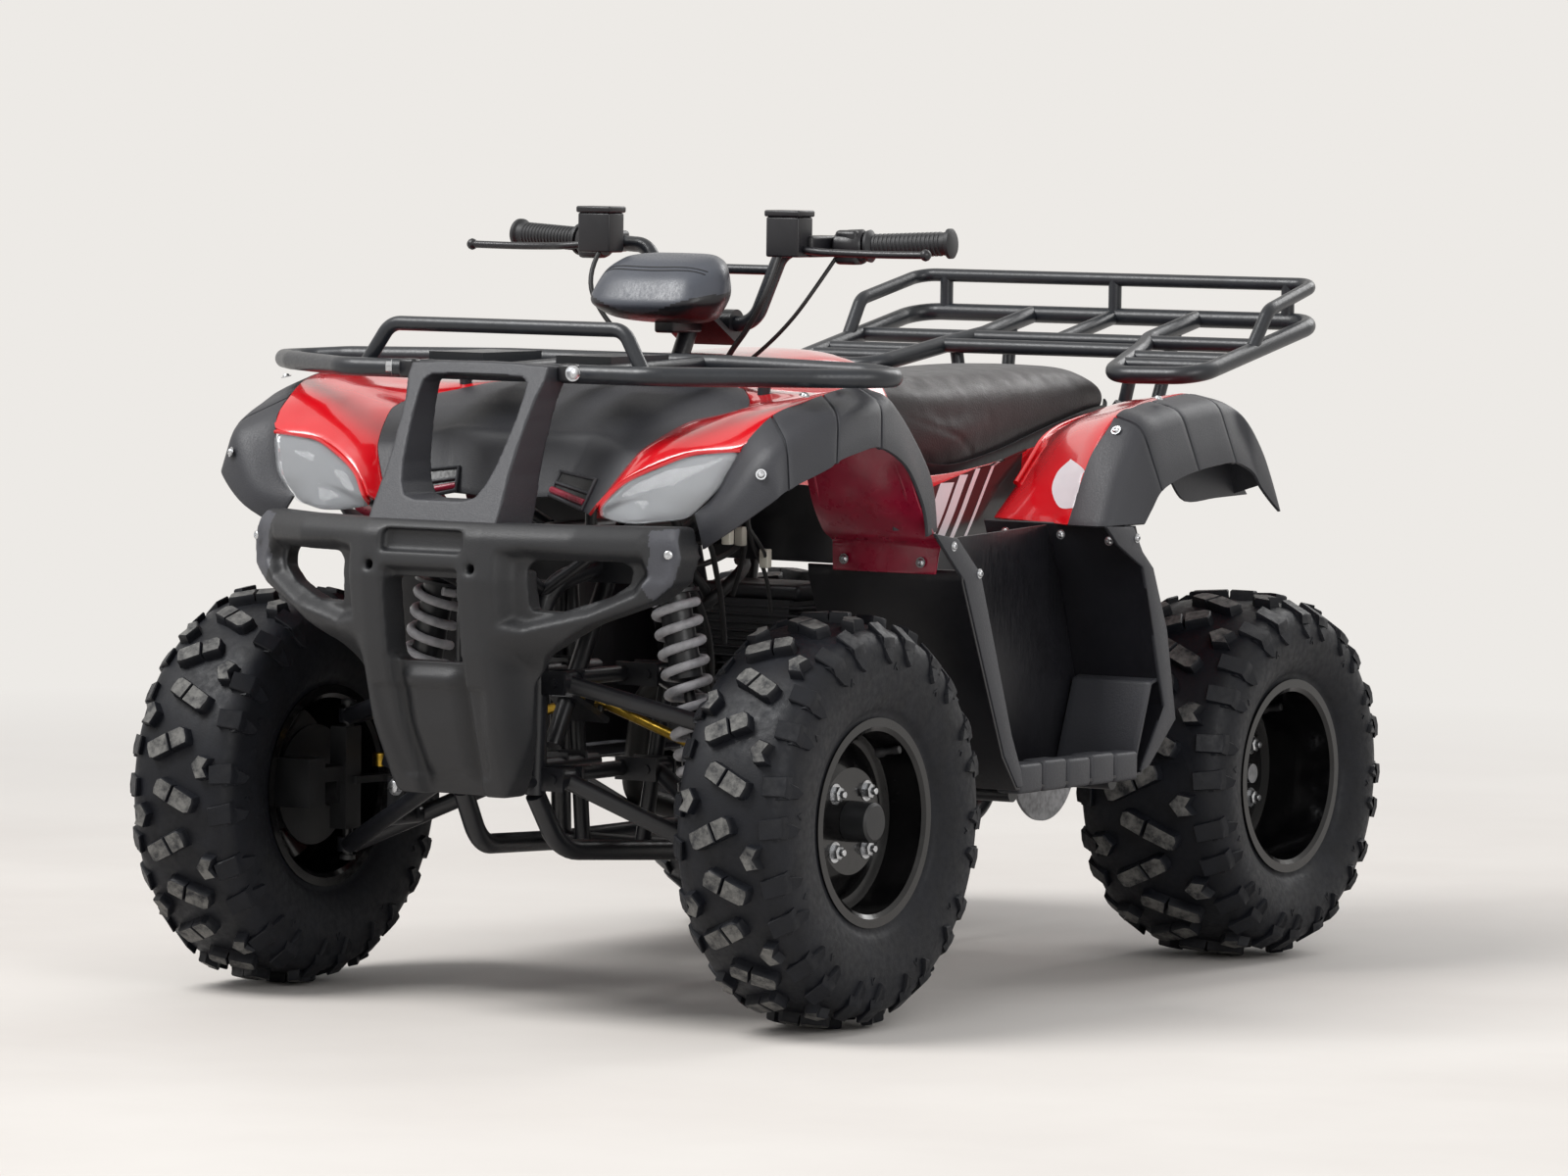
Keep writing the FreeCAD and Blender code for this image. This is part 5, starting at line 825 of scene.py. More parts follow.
# Panels. Corner rows in millimetres on the left side, front to rear
NOSE_SEAM = [(165, fore(-163), 685), (205, fore(-130), 751), (220, fore(-106), 777), (245, fore(-49), 807),
             (262, fore(-5), 816), (275, fore(42), 821), (250, fore(100), 832), (205, fore(156), 845),
             (166, fore(205), 845)]
FRONT_SEAM = [(386, fore(-122), 784), (400, fore(-76), 822), (412, fore(-30), 838), (425, fore(11), 849),
              (426, fore(55), 856), (425, fore(96), 857), (424, fore(135), 848), (424, fore(165), 795),
              (424, fore(188), 725), (424, fore(192), 660)]
REAR_SEAM = [(400, aft(-486), 648), (408, aft(-442), 740), (421, aft(-394), 799), (420, aft(-345), 811),
             (419, aft(-290), 818), (419, aft(-235), 823), (419, aft(-184), 826), (425, aft(-144), 818),
             (430, aft(-115), 790), (430, aft(-85), 735)]
LAMP_LOW = [(190, fore(-172), 684), (225, fore(-180), 677), (260, fore(-187), 676), (320, fore(-159), 684),
            (360, fore(-150), 722)]
LAMP_TOP = [(384, fore(-126), 776), (345, fore(-128), 773), (300, fore(-132), 766), (225, fore(-160), 731),
            (195, fore(-176), 698)]


class QUAD_OT_flares(bpy.types.Operator):
    """Grained flares over the four wheels, with their grooves and screws"""
    bl_idname = "quad.flares"
    bl_label = "Wheel flares"

    def execute(self, context):
        sizes = context.scene.quad_sizes
        seam = FRONT_SEAM
        front = [
            [(330, fore(-155), 692), (342, fore(-160), 668), (346, fore(-158), 645)],
            [(352, fore(-145), 716), (385, fore(-170), 702), (404, fore(-168), 676)],
            [seam[0], (430, fore(-152), 765), (452, fore(-152), 712)],
            [seam[1], (454, fore(-122), 788), (466, fore(-134), 728)],
            [seam[2], (462, fore(-60), 812), (488, fore(-70), 755)],
            [seam[3], (468, fore(-17), 825), (490, fore(-54), 763)],
            [seam[4], (470, fore(35), 836), (490, fore(0), 774)],
            [seam[5], (470, fore(88), 838), (490, fore(57), 779)],
            [seam[6], (462, fore(122), 845), (490, fore(122), 752)],
            [seam[7], (458, fore(185), 800), (490, fore(162), 705)],
            [seam[8], (468, fore(225), 738), (490, fore(175), 675)],
            [seam[9], (472, fore(238), 662), (490, fore(178), 655)],
        ]
        mesh = shell(front, sizes.wall, (1, 0, 1), sizes.rounding, 5, (3, 5, 7), sizes.groove)
        both_sides("front_flare_shells", [mesh], "grey", ("front_flares",))
        seam = REAR_SEAM
        rear = [
            [seam[0], (462, aft(-496), 648), (500, aft(-440), 652)],
            [seam[1], (462, aft(-453), 716), (500, aft(-420), 672)],
            [seam[2], (465, aft(-394), 786), (500, aft(-394), 696)],
            [seam[3], (467, aft(-345), 799), (500, aft(-345), 712)],
            [seam[4], (468, aft(-290), 807), (500, aft(-290), 722)],
            [seam[5], (468, aft(-235), 813), (500, aft(-235), 728)],
            [seam[6], (468, aft(-184), 816), (500, aft(-184), 730)],
            [seam[7], (463, aft(-140), 812), (500, aft(-135), 715)],
            [seam[8], (480, aft(-120), 795), (500, aft(-110), 692)],
            [seam[9], (488, aft(-85), 748), (500, aft(-79), 670)],
            [(430, aft(-65), 680), (492, aft(-65), 700), (500, aft(-54), 655)],
        ]
        mesh = shell(rear, sizes.wall, (1, 0, 1), sizes.rounding, 5, (2, 4, 6), sizes.groove)
        liner = shell([[(431, aft(-249), 800), (431, aft(-249), 702)],
                       [(431, aft(-200), 812), (431, aft(-207), 672)],
                       [(431, aft(-140), 806), (431, aft(-120), 674)],
                       [(431, aft(-90), 735), (431, aft(-30), 676)]],
                      sizes.wall, (1, 0, 0))
        both_sides("rear_flare_shells", [mesh, liner], "grey", ("rear_flares",))
        screws = [((436, fore(-156), 748), (0.6, -0.8, 0.25)), ((428, fore(-40), 849), (0.25, -0.1, 1)),
                  ((432, fore(45), 859), (0.25, -0.1, 1)), ((433, aft(-411), 780), (0, -0.75, 0.6)),
                  ((440, aft(-458), 688), (0, -1, 0.2)), ((436, aft(-300), 822), (0.2, 0, 1))]
        heads = [bolt(place, way, sizes.bolt) for place, way in screws]
        both_sides("flare_screws", heads, "zinc")
        return {"FINISHED"}


class QUAD_OT_red_panels(bpy.types.Operator):
    """Gloss red fenders, skirts and tank cover"""
    bl_idname = "quad.red_panels"
    bl_label = "Red panels"

    def execute(self, context):
        sizes = context.scene.quad_sizes
        seam = NOSE_SEAM
        front = [
            [seam[0], (176, fore(-171), 692), (187, fore(-178), 700)],
            [seam[1], (215, fore(-146), 746), (225, fore(-160), 737)],
            [seam[2], (260, fore(-122), 779), (300, fore(-133), 771)],
            [seam[3], (310, fore(-90), 806), (384, fore(-125), 783)],
            [seam[4], (325, fore(-45), 826), (398, fore(-76), 822)],
            [seam[5], (340, fore(15), 838), FRONT_SEAM[3]],
            [seam[6], (330, fore(90), 838), FRONT_SEAM[5]],
            [seam[7], (320, fore(160), 845), FRONT_SEAM[6]],
            [seam[8], (300, fore(205), 830), (424, fore(172), 780)],
            [(170, fore(232), 790), (300, fore(240), 765), FRONT_SEAM[8]],
        ]
        top = shell(front, sizes.wall, (0, 0, 1), 16)
        lip = [[(x, y - 3, z + 3), (x, y + 4, z + 5)] for x, y, z in reversed(LAMP_TOP)]
        brow = shell([[LAMP_LOW[0], (188, fore(-170), 692)]] + lip, 5.0, (0, -1, 0.4), 3)
        both_sides("front_fender_shells", [top, brow], "red", ("front_fenders",))
        skirt = [
            [(330, fore(96), 838), (450, fore(100), 832)],
            [(326, fore(108), 790), (476, fore(116), 790)],
            [(322, fore(128), 745), (484, fore(134), 745)],
            [(314, fore(160), 695), (485, fore(162), 695)],
            [(306, fore(200), 656), (484, fore(200), 656)],
            [(304, fore(226), 642), (480, fore(226), 642)],
            [(303, fore(230), 630), (474, fore(230), 630)],
            [(303, fore(231), 600), (468, fore(231), 600)],
        ]
        apron = shell(skirt, sizes.wall, (0, -1, 0), 10)
        rib = pipe([(462, fore(118), 790), (468, fore(136), 742), (470, fore(166), 690), (470, fore(208), 655)], 3)
        inner = pipe([(340, fore(110), 785), (334, fore(130), 742), (326, fore(162), 692), (318, fore(208), 654)],
                     2.5)
        # the skirts wear the red with painted shade
        both_sides("front_fender_skirts", [apron, rib, inner], "smoked")
        guards = shell([[(96, fore(216), 720), (306, fore(204), 714)],
                        [(96, fore(232), 680), (306, fore(222), 680)],
                        [(96, fore(242), 645), (306, fore(234), 645)],
                        [(96, fore(248), 608), (306, fore(240), 608)]],
                       3.0, (0, -1, 0), 6)
        both_sides("front_splash_guards", [guards], "black")
        heads = [bolt((x, fore(227), 616), (0, -1, 0.1), sizes.bolt) for x in (324, 448)]
        both_sides("skirt_screws", heads, "zinc")
        rear = [
            [(216, aft(-385), 648), (300, aft(-430), 648), REAR_SEAM[0]],
            [(214, aft(-320), 692), (300, aft(-375), 722), REAR_SEAM[1]],
            [(206, aft(-262), 728), (300, aft(-330), 775), REAR_SEAM[2]],
            [(196, aft(-215), 756), (300, aft(-260), 798), REAR_SEAM[4]],
            [(186, aft(-120), 775), (300, aft(-170), 812), REAR_SEAM[6]],
            [(180, aft(-6), 786), (300, aft(-60), 812), REAR_SEAM[8]],
            [(178, aft(60), 786), (300, aft(20), 800), (418, aft(-50), 730)],
            [(178, aft(150), 770), (290, aft(130), 765), (360, aft(90), 705)],
        ]
        hind = shell(rear, sizes.wall, (0, -0.5, 1), 40)
        ledge = pipe([(214, aft(-322), 695), (206, aft(-264), 731), (196, aft(-217), 759), (186, aft(-122), 779),
                      (180, aft(-8), 790)], 4)
        both_sides("rear_fender_shells", [hind, ledge], "red", ("rear_fenders",))
        rows = []
        tops = ((880, fore(256), 0.9), (888, fore(330), 0.96), (891, aft(-720), 1), (891, aft(-650), 1),
                (886, aft(-590), 1), (872, aft(-532), 1))
        flank = [(150, fore(260), 760), (156, fore(330), 752), (165, aft(-720), 740), (170, aft(-650), 731),
                 (176, aft(-590), 722), (182, aft(-532), 712)]
        for (z, y, wide), foot in zip(tops, flank):
            half = [foot, (124, y, z - 46), (106 * wide, y, z - 14), (60 * wide, y, z - 2)]
            rows.append([(-a, b, c) for a, b, c in half] + [(0, y, z)] + half[::-1])
        tank = shell(rows, sizes.wall, (0, 0, 1), 22)
        piece("tank_cover_shell", tank, "chassis", ("red",), ("tank_cover",))
        panel = [
            [(150, fore(260), 759), (178, fore(260), 700), (192, fore(260), 640)],
            [(165, aft(-690), 736), (185, aft(-690), 680), (200, aft(-690), 615)],
            [(182, aft(-532), 711), (197, aft(-532), 660), (206, aft(-532), 603)],
            [(189, aft(-360), 722), (200, aft(-360), 665), (210, aft(-360), 595)],
            [(190, aft(-224), 745), (197, aft(-262), 700), (209, aft(-300), 640)],
        ]
        flanks = shell(panel, sizes.wall, (1, 0, 0), 14)
        both_sides("side_panel_shells", [flanks], "red", ("side_panels",))
        return {"FINISHED"}


class QUAD_OT_nose(bpy.types.Operator):
    """Grained bonnet with its louvres"""
    bl_idname = "quad.nose"
    bl_label = "Bonnet"

    def execute(self, context):
        sizes = context.scene.quad_sizes
        middle = ((fore(-125), 700), (fore(-95), 775), (fore(-62), 798), (fore(-20), 818), (fore(10), 829),
                  (fore(60), 841), (fore(110), 848), (fore(150), 854), (fore(205), 860))
        crease = ((92, fore(-122), 705), (112, fore(-87), 780), (116, fore(-60), 797), (122, fore(-20), 814),
                  (128, fore(7), 824), (134, fore(60), 837), (138, fore(110), 845), (140, fore(150), 850),
                  (140, fore(205), 855))
        rows = []
        for edge, fold, (y, z) in zip(NOSE_SEAM, crease, middle):
            half = [edge, fold]
            rows.append([(-a, b, c) for a, b, c in half] + [(0, y, z)] + half[::-1])
        mesh = shell(rows, sizes.wall, (0, 0, 1), 7, 6)
        piece("bonnet_shell", mesh, "chassis", ("grey",), ("nose_cover",))
        low_in, low_out = Vector((78, fore(-126), 706)), Vector((150, fore(-154), 690))
        top_out, top_in = Vector((156, fore(-131), 729)), Vector((84, fore(-109), 737))
        out = Vector((0.05, -0.83, 0.55))
        corners = [point + out * 2 for point in (low_in, low_out, top_out, top_in)]
        rim = pipe(corners + corners[:2], 3.2, False)
        # A near-black sheet just behind the louvres: painted shade for the intake's dark hollow
        shape = bmesh.new()
        shape.faces.new([shape.verts.new((point + out * 1.6) * MM)
                         for point in (low_in, low_out, top_out, top_in)])
        dark = shaped(to_mesh(shape), (("SOLIDIFY", {"thickness": 1.5 * MM}),))
        proud = out * 2.5
        bars = [pipe([low_in.lerp(top_in, share) + proud, low_out.lerp(top_out, share) + proud], thick, False)
                for share, thick in ((0.2, 5.0), (0.52, 2.6))]
        both_sides("bonnet_intake_shade_backs", [dark], "groove")
        both_sides("bonnet_intake_rims", [rim], "grey")
        # the sill wears the red with painted shade
        both_sides("bonnet_intake_sills", bars[:1], "smoked")
        both_sides("bonnet_intake_slats", bars[1:], "grey")
        return {"FINISHED"}


class QUAD_OT_lamps(bpy.types.Operator):
    """Headlights with reflectors, and the tail light"""
    bl_idname = "quad.lamps"
    bl_label = "Lamps"

    def execute(self, context):
        corners = [Vector(point) for point in LAMP_LOW + LAMP_TOP]
        rim = rounded_row(corners + corners[:2], 14, 4)[1:-2]
        centre = sum(corners, Vector()) / len(corners)

        def rings(levels, closed=False):
            """Rings of the lamp's outline, each shrunk and set back, closed behind and in front if asked."""
            shape = bmesh.new()
            made = [[shape.verts.new((centre + (point - centre) * share + Vector((0, back, 0))) * MM)
                     for point in rim]
                    for share, back in levels]
            bridge(shape, made)
            shape.faces.new(made[-1])
            if closed:
                shape.faces.new(made[0][::-1])
            bmesh.ops.recalc_face_normals(shape, faces=shape.faces[:])
            return to_mesh(shape, 60)

        outer = rings(((1.0, 3), (1.0, -1), (0.97, -6), (0.86, -11), (0.62, -14), (0.3, -16)))
        glass = shaped(outer, (("SOLIDIFY", {"thickness": 2.5 * MM, "offset": -1.0}),), 60)
        both_sides("headlight_lenses", [glass], "lens", ("headlights",))
        bowl = rings(((0.97, 2), (0.9, 12), (0.74, 26), (0.5, 40), (0.25, 50), (0.12, 53)))
        both_sides("headlight_reflectors", [bowl], "mirror")
        case = rings(((1.0, 4), (0.95, 18), (0.8, 34), (0.5, 62)), True)
        both_sides("headlight_housings", [case], "bezel")
        bulb = centre + Vector((0, 36, 0))
        cap = turned_mesh([(0, 0), (1, 10), (8, 14), (26, 14), (30, 11)], bulb - Vector((0, 24, 0)), bulb, 28)
        both_sides("headlight_bulbs", [cap], "zinc")
        low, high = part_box("tail_light")
        low, high = low / MM, high / MM
        lens = brick(low + Vector((4, 12, 4)), high + Vector((-4, 0, -4)), 7, 4)
        base = brick(low, (high.x, high.y - 9, high.z), 4)
        piece("tail_lens", lens, "chassis", ("tail",), ("tail_light",))
        piece("tail_housing", base, "chassis", ("black",))
        return {"FINISHED"}


GUARD_LEVELS = ((678, 8), (600, 0), (500, 14), (400, 42), (301, 86))
GUARD_FACE = fore(-325)
GUARD_DEPTH = 52
WING_WINDOW = ((114, 538), (150, 530), (240, 552), (300, 582), (318, 612), (304, 642), (150, 648), (116, 642))


def eased(value, start, end):
    """0 before start, 1 past end, and a smooth rise between."""
    share = max(0.0, min(1.0, (value - start) / (end - start)))
    return share * share * (3 - 2 * share)


def guard_face(x, z):
    """Where the guard's unshaped front lies."""
    lean = GUARD_LEVELS[-1][1]
    for (high, lean_high), (low, lean_low) in zip(GUARD_LEVELS, GUARD_LEVELS[1:]):
        if z >= low:
            lean = lean_low + (lean_high - lean_low) * (min(z, high) - low) / (high - low)
            break
    flat, bend, tip = 92, 220.7, 356
    slope = min(1, (abs(x) - flat) / (bend - flat))
    sweep = (abs(x) - bend) / (tip - bend)
    return GUARD_FACE + lean + (31.9 * max(0, slope) + 76.1 * max(0, sweep))


def inside_by(corners, x, z):
    """How far a place lies inside a flat outline, or 0 outside it."""
    inside = False
    nearest = 1e9
    for (ax, az), (bx, bz) in zip(corners, corners[1:] + corners[:1]):
        if (az > z) != (bz > z) and x < (bx - ax) * (z - az) / (bz - az) + ax:
            inside = not inside
        length = (bx - ax) ** 2 + (bz - az) ** 2
        share = max(0, min(1, ((x - ax) * (bx - ax) + (z - az) * (bz - az)) / length))
        nearest = min(nearest, math.hypot(x - ax - share * (bx - ax), z - az - share * (bz - az)))
    return nearest if inside else 0.0


def guard_relief(x, z):
    """How far the guard's face is sunk: scooped wings, a channel between two ribs and a bulged pad low down."""
    x = abs(x)
    sunk = 24 * eased(inside_by(WING_WINDOW, x, z), 0, 20)
    half = 62 - 8 * eased(420 - z, 0, 110)
    channel = 20 * eased(half - x, 0, 7) * eased(616 - z, 0, 9)
    channel -= 15 * eased(half - x, 3, 34) * eased(484 - z, 0, 22) * eased(z - 312, 0, 34)
    flank = 44 * eased(x, 98 - 12 * eased(420 - z, 0, 110), 136) * eased(530 - z, 0, 60)
    top = 17 * eased(z, 648, 680) ** 2
    lip = 12 * eased(552 + 0.1 * (x - 130) - z, 0, 60) * eased(x, 130, 180)
    return sunk + channel + flank + top + lip


class QUAD_OT_guard(bpy.types.Operator):
    """Front guard and the tower above it"""
    bl_idname = "quad.guard"
    bl_label = "Front guard"

    def execute(self, context):
        guard = softened("bumper", 3.6, 7)
        for vertex in guard.vertices:
            x, y, z = vertex.co / MM
            ahead = max(0.0, min(1.0, 1 - (y - guard_face(x, z)) / GUARD_DEPTH))
            vertex.co.y += guard_relief(x, z) * ahead * MM
        guard = shaped(guard, (("SMOOTH", {"factor": 0.5, "iterations": 4}),), SMOOTH)
        piece("bumper_moulding", guard, "chassis", ("guard", "cap"), ("bumper",))
        caps = [(306, 672), (352, 676), (362, 640), (350, 596), (322, 572), (304, 596), (312, 640)]
        for face in guard.polygons:
            x, y, z = face.center / MM
            if face.normal.y < -0.2 and inside_by(caps, abs(x), z) > 1:
                face.material_index = 1
        half = [(0, 702, 0, 668), (38, 702, 60, 668), (57, 707, 104, 668), (68, 724, 104, 700),
                (76, 750, 101, 738), (81, 783, 101.5, 775), (84.5, 812, 103, 808), (86, 842, 106, 838),
                (85, 858, 112, 862), (76, 866, 112, 882), (38, 869, 56, 885), (0, 870, 0, 886)]
        stations = half + [(-a, b, -c, d) for a, b, c, d in half[-2:0:-1]]
        foot, draft_out, draft_in = 690, 8, -3
        shape = bmesh.new()
        rings = []
        for x_in, z_in, x_out, z_out in stations:
            ring = []
            for x, z, back in ((x_in, z_in, 0), (x_out, z_out, 0), (x_out, z_out, 1), (x_in, z_in, 1)):
                face = fore(-285) + 95 * (z - foot) / 180
                rear = face + 75 - 39 * (z - foot) / 190
                draft = (draft_out if x == x_out else draft_in) * back * (1 if x > 0 else -1 if x < 0 else 0)
                ring.append(shape.verts.new(Vector((x + draft, rear if back else face, z)) * MM))
            rings.append(ring)
        bridge(shape, rings + rings[:1])
        bmesh.ops.recalc_face_normals(shape, faces=shape.faces[:])
        legs = shaped(to_mesh(shape), (("REMESH", {"mode": "VOXEL", "voxel_size": 2.0 * MM}),
                                       ("SMOOTH", {"factor": 0.5, "iterations": 5})), SMOOTH)
        piece("tower_moulding", legs, "chassis", ("grey",), ("bumper_tower",))
        clamp = brick((118, fore(-172), 860), (144, fore(-150), 886), 5)
        both_sides("tower_clamps", [clamp], "black")
        heads = [bolt((338, fore(-228), 640), (0.45, -1, 0), 6, 3, washer=False),
                 bolt((148, fore(-179), 874), (0.85, -0.5, 0), 8, 8, True)]
        both_sides("guard_bolts", heads, "zinc")
        return {"FINISHED"}


SEAT_ROWS = ((aft(-524), 0.62, 760, 848), (aft(-450), 0.9, 716, 844), (aft(-370), 1.02, 706, 844),
             (aft(-260), 1.08, 722, 846), (aft(-130), 1.12, 752, 850), (aft(-10), 1.13, 776, 850),
             (aft(50), 1.1, 782, 843), (aft(66), 1.02, 790, 828))


SWELL_FRAMES = 20


def puffed(mesh, voxel, pressure, cap):
    """The mesh's skin swelled by cloth pressure, each point moving at most cap metres."""
    base = shaped(mesh, (("REMESH", {"mode": "VOXEL", "voxel_size": voxel * MM}),
                         ("SMOOTH", {"factor": 0.5, "iterations": 12})), SMOOTH)
    thing = bpy.data.objects.new("swelling", base)
    bpy.context.scene.collection.objects.link(thing)
    cloth = thing.modifiers.new("Cloth", "CLOTH")
    cloth.settings.use_pressure = True
    cloth.settings.uniform_pressure_force = pressure
    cloth.settings.effector_weights.gravity = 0
    for number in range(1, SWELL_FRAMES + 1):
        bpy.context.scene.frame_set(number)
    swollen = thing.evaluated_get(bpy.context.evaluated_depsgraph_get()).to_mesh()
    moved = [vertex.co.copy() for vertex in swollen.vertices]
    bpy.data.objects.remove(thing)
    bpy.context.scene.frame_set(1)
    for vertex, place in zip(base.vertices, moved):
        way = place - vertex.co
        if way.length > cap:
            way *= cap / way.length
        vertex.co += way
    return shaped(base, (("SMOOTH", {"factor": 0.5, "iterations": 6}),), SMOOTH)


class QUAD_OT_seat(bpy.types.Operator):
    """Padded seat with its side seams"""
    bl_idname = "quad.seat"
    bl_label = "Seat"

    def execute(self, context):
        half = 135
        shape = bmesh.new()
        rows = []
        for y, wide, low, high in SEAT_ROWS:
            width = half * wide - 4
            corners = [(-width * 0.5, y, low), (-width * 0.94, y, low), (-width, y, low + 22),
                       (-width * 0.95, y, high - 20), (-width * 0.62, y, high - 4), (0, y, high - 2),
                       (width * 0.62, y, high - 4), (width * 0.95, y, high - 20), (width, y, low + 22),
                       (width * 0.94, y, low), (width * 0.5, y, low)]
            rows.append(rounded_row(corners, 26, 3))
        grid = []
        for step in range((len(rows) - 1) * 5 + 1):
            grid.append([shape.verts.new(point * MM) for point in between(rows, step / 5)])
        bridge(shape, grid)
        shape.faces.new(grid[0])
        shape.faces.new(grid[-1][::-1])
        bmesh.ops.recalc_face_normals(shape, faces=shape.faces[:])
        skin_mesh = puffed(to_mesh(shape, SMOOTH), 6, 4.0, context.scene.quad_sizes.puff)
        seam = [Vector(point) for point in ((136, aft(-470), 800), (142, aft(-436), 784), (146, aft(-400), 774),
                                            (148, aft(-350), 760), (149, aft(-309), 736))]
        reach, depth, inboard = 7, 2.4, 90
        for vertex in skin_mesh.vertices:
            place = Vector((abs(vertex.co.x), vertex.co.y, vertex.co.z)) / MM
            for start, end in zip(seam, seam[1:]):
                way = end - start
                share = max(0, min(1, (place - start).dot(way) / way.length_squared))
                gap = place - (start + way * share)
                near = math.hypot(gap.y, gap.z)
                if near < reach and place.x > inboard:
                    vertex.co.x -= math.copysign(depth * MM * (1 - near / reach), vertex.co.x)
                    break
        mesh = shaped(skin_mesh, (("SUBSURF", {"levels": 1, "render_levels": 1}),), SMOOTH)
        # The seat's black base pan, a real part; its black also fills the gap under the cushion as a painted
        # shadow line
        pan = []
        for y, wide, low, high in SEAT_ROWS[1:]:
            width = half * wide - 6
            pan.append([(-width, y, low + 14), (-width + 4, y, low - 20), (0, y, low - 22),
                        (width - 4, y, low - 20), (width, y, low + 14)])
        piece("seat_pan", shell(pan, 4, (0, 0, -1), 12), "chassis", ("black",))
        cushion = piece("seat_cushion", mesh, "chassis", ("vinyl",), ("seat",))
        return {"FINISHED"}


class QUAD_OT_suspension(bpy.types.Operator):
    """Coil-over dampers at the front and behind"""
    bl_idname = "quad.suspension"
    bl_label = "Coil springs"

    def execute(self, context):
        top = Vector((188, fore(3), 600))
        low = Vector((252, fore(3), 286))
        self.damper("front", top, low, 35, 6.6, 8, Vector((0, 1, 0)), ("front_shocks",), True)
        top = Vector((0, aft(-130), 672))
        low = Vector((0, aft(-76), 329))
        self.damper("rear", top, low, 36, 6.6, 7, Vector((1, 0, 0)), ("rear_shock",), False)
        return {"FINISHED"}

    def damper(self, name, top, low, radius, wire, turns, across, node, both):
        """A coil-over from its top eye to its low one, with its eyes' bolts across."""
        length = (low - top).length
        way = (low - top).normalized()
        body = [(16, 0), (16, 12), (24, 18), (24, radius), (29, radius), (29, 22), (length * 0.45, 22),
                (length * 0.45, 19), (length * 0.47, 8), (length - 44, 8), (length - 44, 16),
                (length - 38, radius), (length - 26, radius + 1), (length - 26, 18), (length - 12, 14),
                (length - 12, 0)]
        parts = [turned_mesh(body, top, low, 40)]
        for end in (top, low):
            eye = [(0, 0), (0, 9), (0, 15), (2, 16), (26, 16), (28, 15), (28, 0)]
            parts.append(turned_mesh(eye, end - across * 14, end + across * 14, 32))
        dark = joined(parts, both)
        piece(f"{name}_damper_bodies", dark, "chassis", ("arms",), node)
        coil = helix(top + way * 29, low - way * 38, radius, wire, turns)
        piece(f"{name}_damper_springs", joined([coil], both), "chassis", ("spring",))
        nuts = [bolt(end + across * edge * 19, across * edge, 9, 8, True) for end in (top, low)
                for edge in (-1, 1)]
        piece(f"{name}_damper_bolts", joined(nuts, both), "chassis", ("zinc",))


